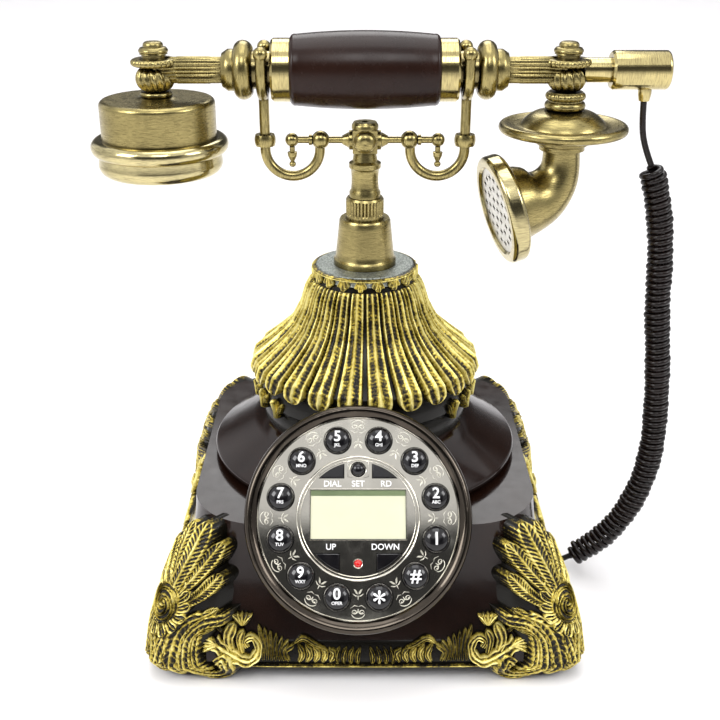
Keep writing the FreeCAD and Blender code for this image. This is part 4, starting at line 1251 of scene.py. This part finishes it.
# %% Flutes
def fluted(piece, count, depth, centre=(0, 0), twist=0.0, low=-1e9, high=1e9, sharp=1.0):
    """Press a wave of flutes into an upright part between two heights, in millimetres."""
    def rule(places):
        x = places[:, 0] / MM - centre[0] - STEM.x / MM
        y = places[:, 1] / MM - centre[1] - STEM.y / MM
        z = places[:, 2] / MM
        reach = np.hypot(x, y)
        wave = 0.5 + 0.5 * np.cos(count * np.arctan2(y, x) + twist * (z - low))
        wave = wave ** sharp
        inside = np.clip(np.minimum(z - low, high - z) / 0.6, 0, 1) * (reach > 2.5)
        share = 1 - depth * inside * (1 - wave) / np.maximum(reach, 1)
        places[:, 0] = (x * share + centre[0]) * MM + STEM.x
        places[:, 1] = (y * share + centre[1]) * MM + STEM.y
        return places
    reshape(piece, rule)
    return piece


# %% Sleeve, knobs, buttons and saucer
sleeve = spun("sleeve", [(4.1, 175.0), (8.2, 175.0), (8.5, 175.4), (8.5, 192.6), (7.9, 193.5),
                         (4.1, 193.5), (4.1, 175.0)], 192)
select_only(sleeve)
bpy.ops.object.mode_set(mode="EDIT")
bpy.ops.mesh.select_all(action="SELECT")
for height in (185.6, 186.2, 192.0):
    bpy.ops.mesh.bisect(plane_co=(0, 0, height * MM), plane_no=(0, 0, 1))
    bpy.ops.mesh.select_all(action="SELECT")
bpy.ops.object.mode_set(mode="OBJECT")
fluted(sleeve, 32, 0.75, low=185.6, high=192.6, sharp=0.7)
finish(sleeve, "cradle", brass_upright, "antique_brass", ("knurled_sleeve",), 30)

KNOB_PLACES = (-90.0, 86.5)      # the left and right ends of the handset's tubes
knobs = []
for x in KNOB_PLACES:
    barrel = arc(2.9, 245.5, 5.55, -72, 72, 18)
    knob = spun("knob", [(0, 240.1), (4.6, 240.1)] + barrel + [(4.6, 250.9), (0, 250.9)], 168,
                at=(x, 0, 0))
    knobs.append(fluted(knob, 14, 1.05, (x, 0), 0.42, 240.4, 250.6, 0.8))
finish(joined(knobs, "twisted_knobs"), "handset", brass_upright, "antique_brass", ("end_knobs",), 60)

buttons = []
for x in KNOB_PLACES:
    flange = spun("flange", [(0, 251.0), (9.0, 251.0)] + arc(8.6, 252.4, 1.45, -75, 75, 8)
                  + [(8.6, 253.9), (5.2, 254.2), (0, 254.2)], 168, at=(x, 0, 0))
    fluted(flange, 28, 0.5, (x, 0), 0.5, 251.05, 253.9)
    button = spun("button", [(5.2, 254.1), (5.2, 255.6), (6.0, 255.8)] + arc(5.4, 257.1, 0.95, -60, 60, 6)
                  + [(5.6, 258.4), (4.3, 258.7)] + arc(2.6, 259.2, 1.75, 0, 80, 6) + [(0, 261.0)],
                  64, at=(x, 0, 0))
    buttons += [flange, button]
finish(joined(buttons, "top_buttons"), "handset", brass_upright, "antique_brass", ("finials",), 50)

x = KNOB_PLACES[1]
neck_bead = spun("bead", [(2.5, 240.0), (7.4, 240.0)] + arc(7.0, 238.1, 1.7, 75, -75, 8)
                 + [(7.4, 236.2)] + arc(6.9, 234.1, 1.95, 75, -75, 8) + [(7.2, 232.1), (2.5, 232.1)],
                 168, at=(x, 0, 0))
fluted(neck_bead, 28, 0.4, (x, 0), 0.5, 236.3, 239.9)
dish = spun("dish", [(2.5, 232.2), (7.8, 232.2), (10.2, 231.5)]
            + [(10.2 + 8.3 * t, 231.5 - 5.1 * t ** 1.9) for t in np.linspace(0.15, 1, 7)]
            + [(18.9, 225.6), (19.7, 225.3), (22.0, 225.5), (24.6, 226.2)]
            + arc(26.0, 224.4, 2.1, 110, -110, 12)
            + [(24.4, 222.0), (20.0, 220.9), (17, 220.2), (11.6, 219.2), (11.6, 217.6),
               (10.0, 216.8), (10.0, 215.0), (2.5, 215.0)], 128, at=(x, 0, 0))
finish(joined([neck_bead, dish], "saucer"), "handset", brass_upright, "antique_brass",
       ("transmitter_saucer",), 35)
print("sleeve, knobs, buttons and saucer turned")

# %% Reeded tubes and the bell's collar
tubes = []
for side, knob in ((-1, -KNOB_PLACES[0]), (1, KNOB_PLACES[1])):
    tube = spun("tube", [(2.5, 61), (5.3, 61), (5.6, 61.5), (5.6, 66.0), (5.75, 66.4), (5.75, 80.0),
                         (5.6, 80.4), (5.6, knob), (2.5, knob)], 160)
    fluted(tube, 20, 0.65, low=61, high=knob, sharp=0.6)
    tube.data.transform(Matrix.Translation(-STEM))
    tube.data.transform(Matrix.Rotation(side * math.pi / 2, 4, "Y"))
    tube.data.transform(Matrix.Translation(Vector((0, 0, 249.0 * MM)) + STEM))
    tubes.append(tube)
finish(joined(tubes, "reeded_tubes"), "handset", brass_along, "antique_brass", ("arm_tubes",), 60)

collar_top = spun("collar_top", [(4.1, 158.0), (22.4, 158.0), (22.4, 162.1), (22.0, 162.45),
                                 (4.1, 162.45), (4.1, 158.0)], 96)
finish(collar_top, "base", speckled_grey, "steel", ("bell_collar",), 40)
LOBES = 19
COLLAR_R = 22.6
COLLAR_Z = 159.3
scallops = [strip([(0, 1.9), (71, 1.9), (142, 1.9)], 1.7, 1.4, "band", 0.4, 0.3, count=150, across=7,
                  base=0.9, gold=1.3)]
for n in range(LOBES):
    place = 2 * math.pi * COLLAR_R * n / LOBES
    for side, drop in ((-1.9, -1.6), (1.9, -1.6), (0, -3.2)):
        scallops.append(strip([(place + 0.3 * side, 2.2), (place + side, drop)], 3.1, 2.0, "feather",
                              0.0, 0.4, count=10, across=9, base=1.0, gold=1.5))


def collar_rule(u, v, off):
    """Wrap flat places round the edge of the collar."""
    angle = u / COLLAR_R
    reach = 22.2 + off
    return np.column_stack([reach * np.cos(angle), reach * np.sin(angle), COLLAR_Z + v])


finish(carved("collar_scallops", [(collar_rule, scallops)]), "base", gilt_relief, "gilt_relief",
       angle=60)

# %% [markdown]
# ## The mouthpiece grille
# The grille is a thin plate with rings of small holes. It is a fine grid whose faces are
# picked by place and deleted, then given thickness, which leaves true openings.

# %% Grille
GRILLE_R = 19.5
grille_holes = [(0, 0)]
for ring_r, step in ((5.2, 60), (10.2, 30), (15.2, 20)):
    grille_holes += [(ring_r * math.cos(a), ring_r * math.sin(a))
                     for a in np.radians(range(0, 360, step))]
deselect()
bpy.ops.mesh.primitive_grid_add(x_subdivisions=190, y_subdivisions=190, size=40 * MM)
grille = bpy.context.active_object
grille.name = "grille"
centres = np.empty(len(grille.data.polygons) * 3)
grille.data.polygons.foreach_get("center", centres)
centres = centres.reshape(-1, 3)[:, :2] / MM
drop = np.hypot(centres[:, 0], centres[:, 1]) > GRILLE_R
for hole_x, hole_y in grille_holes:
    dx, dy = centres[:, 0] - hole_x, centres[:, 1] - hole_y
    around = np.arctan2(dy, dx)
    drop |= np.hypot(dx, dy) < 1.15 + 0.45 * np.cos(4 * around)
select_only(grille)
bpy.ops.object.mode_set(mode="EDIT")
bpy.ops.mesh.select_mode(type="FACE")
bpy.ops.object.mode_set(mode="OBJECT")
grille.data.polygons.foreach_set("select", drop)
bpy.ops.object.mode_set(mode="EDIT")
bpy.ops.mesh.delete(type="FACE")
bpy.ops.mesh.select_all(action="SELECT")
bpy.ops.mesh.vertices_smooth(factor=0.5, repeat=2)
bpy.ops.object.mode_set(mode="OBJECT")
solid = grille.modifiers.new("solid", "SOLIDIFY")
solid.thickness = 1.2 * MM
solid.offset = 0
bpy.ops.object.modifier_apply(modifier="solid")
mouth_low, mouth_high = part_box("mouthpiece_grille")
mouth_middle = (mouth_low + mouth_high) / 2
grille_mesh = frame["nodes"]["mouthpiece_grille"].data
areas = {}
for face in grille_mesh.polygons:
    key = tuple(round(v, 2) for v in face.normal)
    areas[key] = areas.get(key, 0) + face.area
out = max((k for k in areas if k[1] < 0), key=lambda k: areas[k])
grille.rotation_euler = Vector(out).to_track_quat("Z", "Y").to_euler()
grille.location = mouth_middle
finish(grille, "handset", grille_silver, "grille_silver", ("mouthpiece_grille",), 40)
print("grille faces", len(grille.data.polygons))

# %% [markdown]
# ## End of the build

# %% End
print("build finished")
